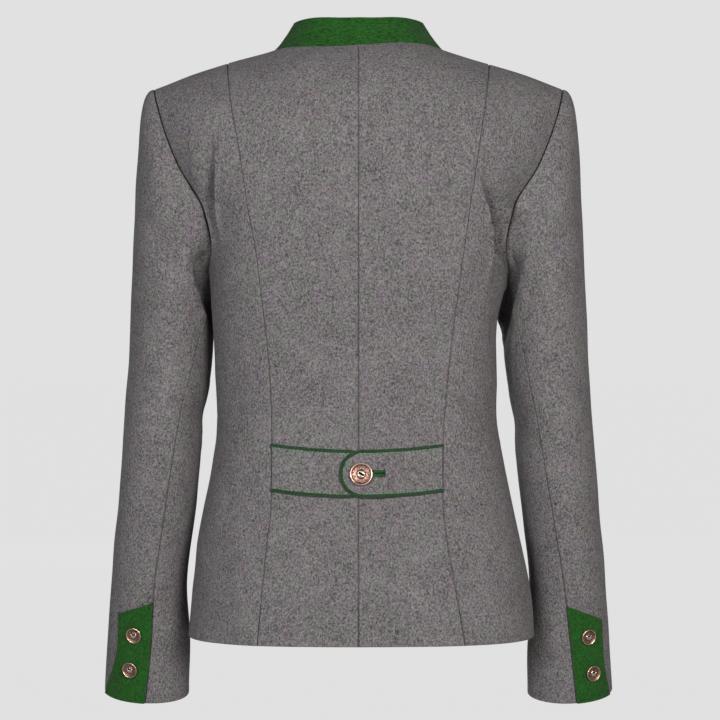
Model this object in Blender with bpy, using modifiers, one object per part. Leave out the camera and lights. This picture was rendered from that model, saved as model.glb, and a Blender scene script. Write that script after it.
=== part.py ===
"""Tyrolean loden jacket, in metres. Z is up, the front faces -Y and the wearer's left is +X.
The origin lies between the shoulders, at the height of the neck points."""

import math
from collections import namedtuple

import bmesh
import bpy
from mathutils import Vector

JACKET = "tyrolean_loden_jacket"
FINISH = {}

WALL = 0.002
SEAM_GAP = 0.0003
HEM = -0.585
UNDERARM = -0.222
BACK_ROUNDING, FRONT_ROUNDING = 0.09, 0.11  # drop from the shoulder ridge to the full depth
FULLNESS = 0.3  # how much squarer than an oval a level section is
NECK_POINT = 0.0845
SHOULDER_TURN = 68.0  # degrees round the body at the sleeve head
LAP = 0.015  # how far each front passes the centre
LAP_LIFT = 0.0032

# Level sections of the body: half width, depth of the back and of the front, and how far its sides lean to the wearer's left.
Section = namedtuple("Section", "height width back front sway")
BODY = [
    Section(-0.585, 0.1725, 0.112, 0.132, -0.003),
    Section(-0.542, 0.1690, 0.109, 0.129, -0.0028),
    Section(-0.500, 0.1630, 0.104, 0.124, -0.0012),
    Section(-0.458, 0.1547, 0.097, 0.118, 0.0),
    Section(-0.416, 0.1460, 0.091, 0.114, 0.0003),
    Section(-0.388, 0.1412, 0.0885, 0.112, 0.0006),
    Section(-0.365, 0.1396, 0.088, 0.112, 0.0012),
    Section(-0.318, 0.1412, 0.091, 0.1200, 0.0024),
    Section(-0.285, 0.1430, 0.095, 0.1295, 0.0024),
    Section(-0.250, 0.1457, 0.100, 0.1370, 0.0008),
    Section(-0.222, 0.1480, 0.103, 0.1400, 0.0),
    Section(-0.205, 0.1511, 0.104, 0.1400, 0.0),
    Section(-0.190, 0.1550, 0.105, 0.1382, 0.0),
    Section(-0.173, 0.1597, 0.106, 0.1340, 0.0),
    Section(-0.155, 0.1660, 0.106, 0.1272, 0.0),
    Section(-0.140, 0.1760, 0.105, 0.1195, 0.0),
    Section(-0.120, 0.1900, 0.104, 0.1080, 0.0),
    Section(-0.090, 0.2040, 0.103, 0.0900, 0.0),
    Section(-0.063, 0.2136, 0.102, 0.0765, 0.0),
    Section(-0.043, 0.2190, 0.100, 0.0680, 0.0),
    Section(0.030, 0.2300, 0.098, 0.058, 0.0),
]

# The shoulder ridge, and its run on over the open neck.
Ridge = namedtuple("Ridge", "across height")
SHOULDER = [
    Ridge(0.0, 0.014),
    Ridge(0.050, 0.011),
    Ridge(0.0845, -0.0012),
    Ridge(0.105, -0.0074),
    Ridge(0.130, -0.0147),
    Ridge(0.165, -0.0252),
    Ridge(0.1985, -0.0380),
    Ridge(0.2035, -0.0400),
    Ridge(0.240, -0.060),
]

# The neck edge, by how far from the centre it is.
Neck = namedtuple("Neck", "across back front")
NECK = [
    Neck(0.0, -0.001, -0.075),
    Neck(0.020, -0.001, -0.0722),
    Neck(0.043, 0.0, -0.0610),
    Neck(0.062, 0.0, -0.0440),
    Neck(0.076, -0.0005, -0.0235),
    Neck(0.0845, -0.0012, -0.0012),
]

# Princess seams: distance from the centre.
Princess = namedtuple("Princess", "height left right front")
PRINCESS = [
    Princess(-0.585, 0.0979, 0.1024, 0.104),
    Princess(-0.522, 0.0924, 0.0922, 0.094),
    Princess(-0.488, 0.0887, 0.0862, 0.087),
    Princess(-0.450, 0.0850, 0.0819, 0.082),
    Princess(-0.392, 0.0843, 0.0821, 0.077),
    Princess(-0.339, 0.0853, 0.0857, 0.0765),
    Princess(-0.300, 0.0886, 0.0900, 0.080),
    Princess(-0.247, 0.0943, 0.0965, 0.085),
    Princess(-0.204, 0.0999, 0.1022, 0.090),
    Princess(-0.160, 0.1076, 0.1085, 0.097),
    Princess(-0.107, 0.1155, 0.1160, 0.108),
    Princess(-0.056, 0.1246, 0.1240, 0.121),
    Princess(-0.0134, 0.1303, 0.1303, 0.1303),
]

# The armhole from the underarm (0) to the sleeve head (1), as turns from the centre back and from the centre front.
Armhole = namedtuple("Armhole", "along back back_height front front_height")
ARMHOLE = [
    Armhole(0.00, 90.0, -0.222, 90.0, -0.222),
    Armhole(0.09, 80.5, -0.2165, 81.0, -0.2170),
    Armhole(0.18, 72.6, -0.205, 72.5, -0.2060),
    Armhole(0.25, 69.2, -0.190, 66.5, -0.1930),
    Armhole(0.32, 68.3, -0.173, 62.3, -0.1770),
    Armhole(0.40, 68.0, -0.155, 59.0, -0.1580),
    Armhole(0.475, 68.0, -0.140, 57.3, -0.1410),
    Armhole(0.575, 68.0, -0.120, 56.5, -0.1190),
    Armhole(0.71, 68.0, -0.090, 58.5, -0.0900),
    Armhole(0.84, 68.0, -0.063, 62.0, -0.0640),
    Armhole(1.00, 68.0, -0.0405, 68.0, -0.0405),
]
ARMHOLE_STEPS = (0.0, 0.06, 0.12, 0.18, 0.26, 0.36, 0.47, 0.58, 0.69, 0.79, 0.88, 0.95, 1.0)
SLEEVE_SEAM_STEP = 3  # the step where both sleeve seams start

# Rings of a sleeve from the upper arm to the cuff: its outer and inner side, its middle, half depth, tilt and forward pitch,
# and the turns of its two seams, from its outer side over the back.
Ring = namedtuple("Ring", "number height outer inner middle depth tilt pitch seam_left seam_right seam_front")
SLEEVE = [
    Ring(1, -0.2125, 0.2252, 0.1482, -0.0130, 0.0625, 40.8, 0.0, 150.0, 144.0, 216.0),
    Ring(2, -0.2500, 0.2286, 0.1474, -0.0130, 0.0625, 20.0, 0.0, 144.0, 140.0, 219.0),
    Ring(3, -0.2900, 0.2302, 0.1470, -0.0125, 0.0610, 8.0, 0.0, 134.0, 130.0, 222.0),
    Ring(4, -0.3300, 0.2328, 0.1500, -0.0125, 0.0590, 4.0, 0.5, 124.5, 123.0, 225.0),
    Ring(5, -0.3750, 0.2357, 0.1568, -0.0130, 0.0560, 3.0, 2.0, 117.0, 118.0, 228.0),
    Ring(6, -0.4200, 0.2389, 0.1600, -0.0160, 0.0530, 3.0, 5.0, 110.0, 110.5, 230.0),
    Ring(7, -0.4750, 0.2442, 0.1665, -0.0220, 0.0490, 3.0, 7.5, 105.5, 105.0, 232.0),
    Ring(8, -0.5300, 0.2495, 0.1731, -0.0310, 0.0450, 3.0, 9.0, 102.0, 99.5, 234.0),
    Ring(9, -0.5900, 0.2540, 0.1727, -0.0410, 0.0415, 3.0, 10.0, 97.0, 90.5, 235.0),
    Ring(10, -0.6474, 0.2585, 0.1738, -0.0500, 0.0400, 3.0, 10.0, 91.0, 85.0, 236.0),
]
SLEEVE_STEPS = (0.0, 0.12, 0.28, 0.46, 0.66, 0.85, 1.0, 1.45, 1.9, 2.4, 3.0, 3.6, 4.2, 4.7, 5.0, 6.0, 7.0, 8.0, 9.0, 9.55, 10.0)
# How the sleeve head leaves the armhole at its top, side and underarm.
HEAD_LEAVES = (Vector((0.017, 0, 0.0008)), Vector((0.016, 0.003, -0.0116)), Vector((0.0042, 0, -0.0062)))
HEAD_ARRIVES = (0.085, 0.034, 0.008)

# The green inset's outer edge, in sleeve rings and turns.
InsetEdge = namedtuple("InsetEdge", "ring left right")
INSET = [
    InsetEdge(8.37, 45.5, 37.7),
    InsetEdge(9.0, 47.5, 40.8),
    InsetEdge(9.35, 42.5, 39.2),
    InsetEdge(9.7, 32.0, 34.0),
    InsetEdge(10.0, 19.5, 27.0),
]
INSET_TOP = {"left": (8.235, 8.50), "right": (8.30, 8.62)}
INSET_LIFT = 0.0019  # how far the inset's face stands above the sleeve's
CUFF_BUTTONS = {1: ((8.80, 74.4), (9.41, 70.4)), -1: ((8.84, 66.8), (9.49, 61.9))}

# Soft folds of the body, each a line of stops: distance from the centre, height, half width and depth.
BodyFold = namedtuple("BodyFold", "face side fold across height half_width depth")
BODY_FOLDS = [
    BodyFold("back", "left", 1, 0.1425, -0.112, 0.009, 0.0),
    BodyFold("back", "left", 1, 0.1425, -0.132, 0.012, 0.0024),
    BodyFold("back", "left", 1, 0.1420, -0.150, 0.009, 0.0018),
    BodyFold("back", "left", 1, 0.1410, -0.166, 0.006, 0.0),
    BodyFold("back", "right", 1, 0.1256, -0.098, 0.010, 0.0),
    BodyFold("back", "right", 1, 0.1256, -0.125, 0.011, 0.0020),
    BodyFold("back", "right", 1, 0.1265, -0.153, 0.012, 0.0034),
    BodyFold("back", "right", 1, 0.1345, -0.176, 0.012, 0.0036),
    BodyFold("back", "right", 1, 0.1370, -0.196, 0.009, 0.0024),
    BodyFold("back", "right", 1, 0.1375, -0.212, 0.007, 0.0),
    BodyFold("front", "left", 1, 0.1290, -0.102, 0.010, 0.0),
    BodyFold("front", "left", 1, 0.1270, -0.132, 0.012, 0.0024),
    BodyFold("front", "left", 1, 0.1285, -0.160, 0.011, 0.0026),
    BodyFold("front", "left", 1, 0.1320, -0.186, 0.008, 0.0),
    BodyFold("front", "right", 1, 0.1310, -0.110, 0.010, 0.0),
    BodyFold("front", "right", 1, 0.1290, -0.140, 0.012, 0.0030),
    BodyFold("front", "right", 1, 0.1310, -0.168, 0.010, 0.0022),
    BodyFold("front", "right", 1, 0.1340, -0.188, 0.007, 0.0),
]

# Soft folds of the sleeves: turn from the outer side, height, half width and depth.
SleeveFold = namedtuple("SleeveFold", "side fold turn height half_width depth")
SLEEVE_FOLDS = [
    SleeveFold("left", 1, 44, -0.158, 0.014, 0.0),
    SleeveFold("left", 1, 68, -0.186, 0.017, 0.0030),
    SleeveFold("left", 1, 96, -0.214, 0.017, 0.0034),
    SleeveFold("left", 1, 128, -0.246, 0.014, 0.0),
    SleeveFold("left", 2, 92, -0.344, 0.014, 0.0),
    SleeveFold("left", 2, 140, -0.362, 0.017, 0.0034),
    SleeveFold("left", 2, 185, -0.368, 0.017, 0.0040),
    SleeveFold("left", 2, 250, -0.352, 0.014, 0.0),
    SleeveFold("left", 3, 230, -0.205, 0.014, 0.0),
    SleeveFold("left", 3, 262, -0.225, 0.017, 0.0034),
    SleeveFold("left", 3, 300, -0.218, 0.014, 0.0),
    SleeveFold("right", 1, 50, -0.166, 0.014, 0.0),
    SleeveFold("right", 1, 76, -0.194, 0.017, 0.0024),
    SleeveFold("right", 1, 102, -0.222, 0.016, 0.0026),
    SleeveFold("right", 1, 130, -0.252, 0.014, 0.0),
    SleeveFold("right", 2, 100, -0.350, 0.014, 0.0),
    SleeveFold("right", 2, 150, -0.372, 0.017, 0.0030),
    SleeveFold("right", 2, 200, -0.376, 0.017, 0.0038),
    SleeveFold("right", 2, 255, -0.358, 0.014, 0.0),
    SleeveFold("right", 3, 232, -0.212, 0.014, 0.0),
    SleeveFold("right", 3, 268, -0.232, 0.017, 0.0030),
    SleeveFold("right", 3, 304, -0.222, 0.014, 0.0),
]

COLLAR_HEIGHT = 0.0275
BELT_MIDDLE, BELT_SAG = -0.4143, 0.0058
BELT_HALF = 0.0200
BELT_WALL = 0.0022
ROUND_END = -0.0048  # centre of the right tab's round end
LEFT_PIPING_END = 0.0083
PIPING_RADIUS = 0.0016
FRONT_BUTTONS = (-0.102, -0.187, -0.272, -0.357, -0.442)

# Half outline of a button, from its back to its middle, for a radius of 1.
Turning = namedtuple("Turning", "radius height")
BUTTON = [
    Turning(0.55, 0.0),
    Turning(0.93, 0.10),
    Turning(1.0, 0.22),
    Turning(0.95, 0.35),
    Turning(0.80, 0.29),
    Turning(0.45, 0.23),
    Turning(0.36, 0.36),
    Turning(0.20, 0.40),
]


def along(rows, key, value, at):
    """A smooth curve through one named column of a table, over another."""
    points = sorted((getattr(row, key), getattr(row, value)) for row in rows)
    if at <= points[0][0]:
        return points[0][1]
    if at >= points[-1][0]:
        return points[-1][1]
    i = max(j for j, point in enumerate(points[:-1]) if point[0] <= at)

    def slope(j):
        a, b = points[max(j - 1, 0)], points[min(j + 1, len(points) - 1)]
        return (b[1] - a[1]) / (b[0] - a[0])

    (x0, y0), (x1, y1) = points[i], points[i + 1]
    d = x1 - x0
    t = (at - x0) / d
    return (
        (2 * t**3 - 3 * t**2 + 1) * y0
        + (t**3 - 2 * t**2 + t) * d * slope(i)
        + (3 * t**2 - 2 * t**3) * y1
        + (t**3 - t**2) * d * slope(i + 1)
    )


def smooth(x):
    x = min(max(x, 0.0), 1.0)
    return x * x * (3 - 2 * x)


def mix(a, b, t):
    return a + (b - a) * t


def pressed(stops, place):
    """How deep a fold presses at a place. stops = (its place, half width, depth) along its line."""
    deepest = 0.0
    for (a, wide_a, deep_a), (b, wide_b, deep_b) in zip(stops, stops[1:]):
        run = b - a
        t = min(max((place - a).dot(run) / run.length_squared, 0), 1)
        away = (place - a.lerp(b, t)).length / mix(wide_a, wide_b, t)
        if away < 1:
            deepest = max(deepest, mix(deep_a, deep_b, t) * (1 - away * away) ** 2)
    return deepest


def fold_lines(rows, place_of):
    """The folds of a table, each as its line of stops."""
    lines = {}
    for row in rows:
        lines.setdefault(row.fold, []).append((place_of(row), row.half_width, row.depth))
    return list(lines.values())


# --- the body's surface: turn 0 is the centre back, 180 the centre front; rise 0 is the hem, 1 the shoulder ridge ---


def rounding_of(turn):
    return BACK_ROUNDING if abs(turn) <= 90 else FRONT_ROUNDING


def knee_of(rounding):
    """The rise where the shoulder starts to round over."""
    drop = 0.57 - rounding
    return drop / (drop + rounding * math.pi / 2)


def height_of(rise, ridge, rounding):
    knee = knee_of(rounding)
    if rise < knee:
        return HEM + (ridge - rounding - HEM) * rise / knee
    return ridge - rounding * (1 - math.cos((1 - rise) / (1 - knee) * math.pi / 2))


def rise_of(turn, height):
    rounding = rounding_of(turn)
    knee = knee_of(rounding)
    ridge = along(SHOULDER, "across", "height", abs(width_at(height) * math.sin(math.radians(turn))))
    drop = ridge - height
    if drop >= rounding:
        return knee * (height - HEM) / (ridge - rounding - HEM)
    return 1 - math.acos(min(max(1 - drop / rounding, -1), 1)) / (math.pi / 2) * (1 - knee)


def width_at(height):
    return along(BODY, "height", "width", height)


def body_point(turn, rise):
    rounding = rounding_of(turn)
    sine, cosine = math.sin(math.radians(turn)), math.cos(math.radians(turn))
    height = height_of(rise, -0.01, rounding)
    for _ in range(9):
        across = width_at(height) * sine
        height = height_of(rise, along(SHOULDER, "across", "height", abs(across)), rounding)
    depth = along(BODY, "height", "back" if abs(turn) <= 90 else "front", height)
    full = depth * cosine * (1 + FULLNESS * sine * sine)
    knee = knee_of(rounding)
    return Vector((across, full * (math.sin((1 - rise) / (1 - knee) * math.pi / 2) if rise > knee else 1), height))


def body_normal(turn, rise):
    near, step = 0.4, 0.002
    inside = 1 if abs(turn) <= 90 else -1
    # Near the side seam each panel looks across it, so both share one normal.
    a, b = body_point(turn - near, rise), body_point(turn + near, rise)
    c, d = body_point(turn, max(rise - step, 0)), body_point(turn, min(rise + step, 1))
    if min(abs(abs(turn) - 90), 90) < near:
        height = body_point(turn, rise).z
        a, b = (body_point(t, rise_of(t, height)) for t in (turn - near, turn + near))
    normal = (b - a).cross(d - c).normalized()
    if normal.length < 0.5:
        normal = Vector((0, 0, 1))
    outward = Vector((math.sin(math.radians(turn)), inside * abs(math.cos(math.radians(turn))), 0.4))
    return normal if normal.dot(outward) > 0 else -normal


def turn_at(across, height):
    return math.degrees(math.asin(min(across / width_at(height), 1)))


def princess_turn(column, rise, rounding):
    """The turn from the centre of a princess seam at this rise."""
    height = height_of(rise, -0.012, rounding)
    for _ in range(9):
        across = along(PRINCESS, "height", column, height)
        height = height_of(rise, along(SHOULDER, "across", "height", across), rounding)
    return turn_at(across, height)


def armhole(step, face):
    """(turn from that face's centre, rise) of the armhole at this step."""
    Place = namedtuple("Place", "along turn rise")
    rows = []
    for row in ARMHOLE:
        turn, height = (row.back, row.back_height) if face == "back" else (row.front, row.front_height)
        whole = turn if face == "back" else 180 - turn
        rows.append(Place(row.along, turn, 1.0 if row.along == 1 else rise_of(whole, height)))
    return along(rows, "along", "turn", step), along(rows, "along", "rise", step)


# Rows of the body's panels at the side seam, closer under the belt.
SIDE_ROWS = (-0.585, -0.545, -0.503, -0.462, -0.440, -0.421, -0.405, -0.389, -0.372, -0.350, -0.325, -0.300, -0.276, -0.253, -0.236)
UNDERARM_RISE = 0.589
ROWS = [(UNDERARM_RISE * (height - HEM) / (UNDERARM - HEM), "side", height) for height in SIDE_ROWS]
ROWS += [(mix(UNDERARM_RISE, 1, step), "armhole", step) for step in ARMHOLE_STEPS]


def side_place(row, face):
    _, kind, at = row
    if kind == "side":
        return 90.0, rise_of(90.0 if face == "back" else 90.001, at)
    return armhole(at, face)


# --- making the objects ---


def material(name, colour, roughness, metallic=0.0):
    made = bpy.data.materials.new(name)
    made.use_nodes = True
    shader = made.node_tree.nodes["Principled BSDF"]
    shader.inputs["Base Color"].default_value = (*colour, 1)
    shader.inputs["Roughness"].default_value = roughness
    shader.inputs["Metallic"].default_value = metallic
    made.diffuse_color = (*colour, 1)
    return made


def add(name, data, finish):
    made = bpy.data.objects.new(name, data)
    data.materials.append(finish)
    bpy.data.collections[JACKET].objects.link(made)
    return made


def cloth(name, finish, points, normals, wall=WALL, lift=0.0, gap=SEAM_GAP / 2, first_gap=None):
    """A cloth wall. points[row][column] lies on its outer face; its edges draw back by the gap, and the wall goes inwards."""
    rows, columns = len(points), len(points[0])
    first_gap = gap if first_gap is None else first_gap
    sheet = bmesh.new()
    bmesh.ops.create_grid(sheet, x_segments=columns - 1, y_segments=rows - 1, size=1)
    place = {}
    for vertex in sheet.verts:
        place[vertex] = round((vertex.co.y + 1) / 2 * (rows - 1)), round((vertex.co.x + 1) / 2 * (columns - 1))
    for vertex, (i, j) in place.items():
        here = points[i][j]
        drawn = here.copy()
        if gap and j in (0, columns - 1):
            drawn += (points[i][1 if j == 0 else columns - 2] - here).normalized() * gap
        if gap and i in (0, rows - 1):
            drawn += (points[1 if i == 0 else rows - 2][j] - here).normalized() * (gap if i else first_gap)
        vertex.co = drawn + normals[i][j] * lift
    outer = sheet.verts[:]
    # Extruding keeps the outer face, and the copy moves in along the normals that neighbouring panels share.
    copy = bmesh.ops.extrude_face_region(sheet, geom=sheet.faces[:], use_keep_orig=True)["geom"]
    moved = [thing for thing in copy if isinstance(thing, bmesh.types.BMVert)]
    at = {tuple(vertex.co): place[vertex] for vertex in outer}
    for vertex in moved:
        i, j = at[tuple(vertex.co)]
        vertex.co = vertex.co - normals[i][j] * wall
    bmesh.ops.recalc_face_normals(sheet, faces=sheet.faces[:])
    mesh = bpy.data.meshes.new(name)
    sheet.to_mesh(mesh)
    sheet.free()
    mesh.shade_smooth()
    mesh.set_sharp_from_angle(angle=math.radians(40))
    return add(name, mesh, finish)


SIDES = {"left": 1, "right": -1}


def mirrored(point, side):
    return Vector((point.x * side, point.y, point.z))


def swayed(point):
    """The body's sides stand a little to one side of its middle."""
    lean = along(BODY, "height", "sway", point.z) * smooth((abs(point.x) - 0.085) / 0.06)
    return Vector((point.x + lean, point.y, point.z))


def whole_turn(turn, face):
    return turn if face == "back" else 180 - turn


def panel(name, side, face, places, lift_of=None):
    """places[row][column] = (turn from that face's centre, rise), built on the wearer's left and mirrored for the right."""
    points, normals = [], []
    rows = [row for row in BODY_FOLDS if row.face == face and SIDES[row.side] == side]
    folds = fold_lines(rows, lambda row: Vector((row.across, row.height)))
    for row in places:
        points.append([])
        normals.append([])
        for turn, rise in row:
            turn = whole_turn(turn, face)
            point, normal = body_point(turn, rise), body_normal(turn, rise)
            lift = lift_of(point) if lift_of else 0
            depth = max(pressed(stops, Vector((point.x, point.z))) for stops in folds)
            point = point + normal * (lift - depth)
            points[-1].append(swayed(mirrored(point, side)))
            normals[-1].append(mirrored(normal, side))
    return cloth(name, FINISH["grey_loden"], points, normals)


def side_panel(side_name, face):
    column = side_name if face == "back" else "front"
    rounding = BACK_ROUNDING if face == "back" else FRONT_ROUNDING
    places = []
    for row in ROWS:
        v = row[0]
        inner_turn, inner_rise = princess_turn(column, v, rounding), v
        outer_turn, outer_rise = side_place(row, face)
        places.append([(mix(inner_turn, outer_turn, u / 6), mix(inner_rise, outer_rise, u / 6)) for u in range(7)])
    return panel(f"{face}_side_{side_name}", SIDES[side_name], face, places)


BELT_RISE = 0.3  # below it, the rows of the back are level
# The row of a centre panel where its centre edge turns into the neck edge, and where the neck edge starts.
NECK_ROW = {"back": 20, "front": 18}
NECK_START = {"back": 0.0, "front": -10.2}


def neck_place(angle, face):
    """(turn, rise) on the neck edge: angle 0 is the centre, 90 the neck point."""
    if angle == 90:
        return turn_at(NECK_POINT, 0.0), 1.0
    across = NECK_POINT * math.sin(math.radians(angle))
    height = along(NECK, "across", face, abs(across))
    turn = math.copysign(turn_at(abs(across), height), across)
    return turn, rise_of(whole_turn(turn, face), height)


def neck_angles(face):
    steps = len(ROWS) - 1 - NECK_ROW[face]
    return [mix(NECK_START[face], 90, i / steps) for i in range(steps + 1)]


def centre_edge(index, face):
    """(turn, rise) where a row meets the centre edge, or the neck edge above it."""
    corner = NECK_ROW[face]
    if index >= corner:
        return neck_place(neck_angles(face)[index - corner], face)
    v = ROWS[index][0]
    level = BELT_RISE if face == "back" else 0.0
    if v > level:
        v = mix(level, neck_place(NECK_START[face], face)[1], (v - level) / (ROWS[corner][0] - level))
    if face == "back":
        return 0.0, v
    return -turn_at(LAP, body_point(180.0, v).z), v


def front_lift(point):
    """The right front passes over the left one."""
    return LAP_LIFT * smooth((0.046 - point.x) / 0.026)


LAP_COLUMNS = (-1, -1 / 3, 1 / 3, 1)  # shares of the lap, so that both fronts share their columns there


def centre_panel(side_name, face):
    column = side_name if face == "back" else "front"
    rounding = BACK_ROUNDING if face == "back" else FRONT_ROUNDING
    places = []
    for index, (v, _, _) in enumerate(ROWS):
        edge_turn, edge_rise = centre_edge(index, face)
        seam = princess_turn(column, v, rounding)
        if face == "front" and index <= NECK_ROW[face]:
            height = body_point(180.0, edge_rise).z
            row = [(math.copysign(turn_at(LAP * abs(share), height), share), edge_rise) for share in LAP_COLUMNS]
            row += [(mix(row[3][0], seam, u / 5), mix(edge_rise, v, u / 5)) for u in range(1, 6)]
        else:
            # Above the corner the columns spread out evenly, so that both faces share them on the shoulder.
            above = smooth((index - NECK_ROW[face]) / (len(ROWS) - 1 - NECK_ROW[face])) if face == "front" else 1
            shares = [mix(u, i / 8, above) for i, u in enumerate((0, 0.095, 0.19, 0.285, 0.43, 0.57, 0.71, 0.855, 1))]
            row = [(mix(edge_turn, seam, u), mix(edge_rise, v, u)) for u in shares]
        places.append(row)
    lift = front_lift if (face, side_name) == ("front", "right") else None
    return panel(f"{face}_centre_{side_name}", SIDES[side_name], face, places, lift)


# --- sleeves: turn 0 is the outer side, 90 the back, 180 the inner side, 270 the front ---


def armhole_point(turn):
    turn %= 360
    face = "back" if turn <= 180 else "front"
    step = abs(180 - turn) / 180
    angle, rise = armhole(step, face)
    return body_point(whole_turn(angle, face), rise)


def ring_point(turn, number):
    get = {name: along(SLEEVE, "number", name, number) for name in ("height", "outer", "inner", "middle", "depth", "tilt", "pitch")}
    half = (get["outer"] - get["inner"]) / 2
    tilt, pitch, angle = (math.radians(a) for a in (get["tilt"], get["pitch"], turn))
    centre = Vector(((get["outer"] + get["inner"]) / 2, get["middle"], get["height"]))
    across = Vector((1, 0, math.tan(tilt))) * half
    through = Vector((0, math.cos(pitch), -math.sin(pitch))) * get["depth"]
    return centre + across * math.cos(angle) + through * math.sin(angle)


def sleeve_point(turn, number):
    if number >= 1:
        return ring_point(turn, number)
    angle = math.radians(turn)
    weights = (max(math.cos(angle), 0) ** 2, math.sin(angle) ** 2, max(-math.cos(angle), 0) ** 2)
    leaves = sum((vector * weight for vector, weight in zip(HEAD_LEAVES, weights)), Vector())
    leaves.y *= math.sin(angle)
    arrives = (ring_point(turn, 1.05) - ring_point(turn, 1)).normalized()
    arrives *= sum(reach * weight for reach, weight in zip(HEAD_ARRIVES, weights))
    a, d = armhole_point(turn), ring_point(turn, 1)
    b, c, t = a + leaves, d - arrives, number
    return a * (1 - t) ** 3 + b * 3 * t * (1 - t) ** 2 + c * 3 * t * t * (1 - t) + d * t**3


def sleeve_normal(turn, number):
    low, high = max(number - 0.02, 0), min(number + 0.02, 10)
    if number >= 1:
        low = max(low, 1)
    else:
        high = min(high, 1)
    normal = (sleeve_point(turn + 1.5, number) - sleeve_point(turn - 1.5, number)).cross(
        sleeve_point(turn, high) - sleeve_point(turn, low)
    ).normalized()
    outward = ring_point(turn, max(number, 1)) - ring_point(turn + 180, max(number, 1))
    return normal if normal.dot(outward) > 0 else -normal


def sleeve_turns(side_name, number):
    """The turns of the back and of the front seam."""
    if number <= 1:
        start = 180 * (1 - ARMHOLE_STEPS[SLEEVE_SEAM_STEP])
        back, front = along(SLEEVE, "number", "seam_" + side_name, 1), SLEEVE[0].seam_front
        return mix(start, back, smooth(number)), mix(360 - start, front, smooth(number))
    return along(SLEEVE, "number", "seam_" + side_name, number), along(SLEEVE, "number", "seam_front", number)


def sleeve_fold_place(turn, height):
    """A place on the unrolled sleeve, in metres."""
    return Vector((turn % 360 * 0.00075, height))


def sleeve_panel(name, side_name):
    folds = fold_lines([row for row in SLEEVE_FOLDS if row.side == side_name], lambda row: sleeve_fold_place(row.turn, row.height))
    start = 180 * (1 - ARMHOLE_STEPS[SLEEVE_SEAM_STEP])
    if name == "upper":
        turns = [180 * (1 - step) for step in ARMHOLE_STEPS[SLEEVE_SEAM_STEP:]]
        turns += [-turn for turn in turns[-2::-1]]
        shares = [(start - turn) / (2 * start) for turn in turns]
    else:
        turns = [180 * (1 - step) for step in ARMHOLE_STEPS[SLEEVE_SEAM_STEP::-1]]
        turns += [360 - turn for turn in turns[-2::-1]]
        shares = [(turn - start) / (360 - 2 * start) for turn in turns]
    points, normals = [], []
    for number in SLEEVE_STEPS:
        back, front = sleeve_turns(side_name, number)
        far = front - 360 if name == "upper" else front
        points.append([])
        normals.append([])
        for share in shares:
            turn = mix(back, far, share)
            point, normal = sleeve_point(turn, number), sleeve_normal(turn, number)
            depth = max(pressed(stops, sleeve_fold_place(turn, point.z)) for stops in folds) * smooth(number / 0.3)
            points[-1].append(mirrored(point - normal * depth, SIDES[side_name]))
            normals[-1].append(mirrored(normal, SIDES[side_name]))
    return cloth(f"sleeve_{name}_{side_name}", FINISH["grey_loden"], points, normals, first_gap=0.0005)


def inset(side_name):
    points, normals = [], []
    rows, columns = 7, 8
    for i in range(rows):
        points.append([])
        normals.append([])
        for j in range(columns):
            u = j / (columns - 1)
            number = mix(mix(*INSET_TOP[side_name], u), 10, i / (rows - 1))
            back = sleeve_turns(side_name, number)[0] - 0.6
            turn = mix(back, along(INSET, "ring", side_name, number), u)
            points[-1].append(mirrored(sleeve_point(turn, number), SIDES[side_name]))
            normals[-1].append(mirrored(sleeve_normal(turn, number), SIDES[side_name]))
    return cloth(f"cuff_inset_{side_name}", FINISH["green_loden"], points, normals, wall=0.0012, lift=INSET_LIFT, gap=0)


# --- collar ---


def collar():
    half = []
    for face in ("back", "front"):
        line = [body_point(whole_turn(turn, face), rise) for turn, rise in (neck_place(a, face) for a in neck_angles(face))]
        half += line if face == "back" else line[-2::-1]
    half = [point for point in half if point.x > -0.014]
    before, last = half[-2:]
    half[-1] = before.lerp(last, (before.x - 0.0015) / (before.x - last.x))
    base = [mirrored(point, -1) for point in half[:0:-1]] + half
    levels = (0.0, 0.25, 0.5, 0.75, 1.0)
    points = []
    for level in levels:
        points.append([])
        for point in base:
            inward = Vector((-point.x, -0.005 - point.y, 0)).normalized()
            side = abs(point.x) / NECK_POINT
            lean = mix(0.009 if point.y > 0 else 0.006, 0.020, side**2)
            up = COLLAR_HEIGHT * level + 2 * SEAM_GAP
            points[-1].append(point + inward * lean * level**0.8 + Vector((0, 0, up)))
    normals = []
    last = len(base) - 1
    for i in range(len(levels)):
        normals.append([])
        for j in range(last + 1):
            run = points[i][min(j + 1, last)] - points[i][max(j - 1, 0)]
            up = points[min(i + 1, 4)][j] - points[max(i - 1, 0)][j]
            normal = run.cross(up).normalized()
            away = Vector((points[i][j].x, points[i][j].y + 0.005, 0))
            normals[-1].append(normal if normal.dot(away) > 0 else -normal)
    return cloth("collar", FINISH["green_loden"], points, normals, gap=0)


# --- the half belt, on the back panels ---


def back_place(across, height):
    """The point and the normal of the back at this distance from the centre and height."""
    turn = math.copysign(turn_at(abs(across), height), across)
    rise = rise_of(turn, height)
    return body_point(turn, rise), body_normal(turn, rise)


def belt_line(across, share):
    """Height of the belt: share -1 is its lower edge, 1 its upper edge."""
    return BELT_MIDDLE - BELT_SAG * (1 - min((across / 0.083) ** 2, 1)) + BELT_HALF * share


def lap_height(across, side):
    """The right tab rises to pass over the left one."""
    return SEAM_GAP + (smooth((across + 0.048) / 0.030) * (BELT_WALL + SEAM_GAP) if side < 0 else 0)


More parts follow.
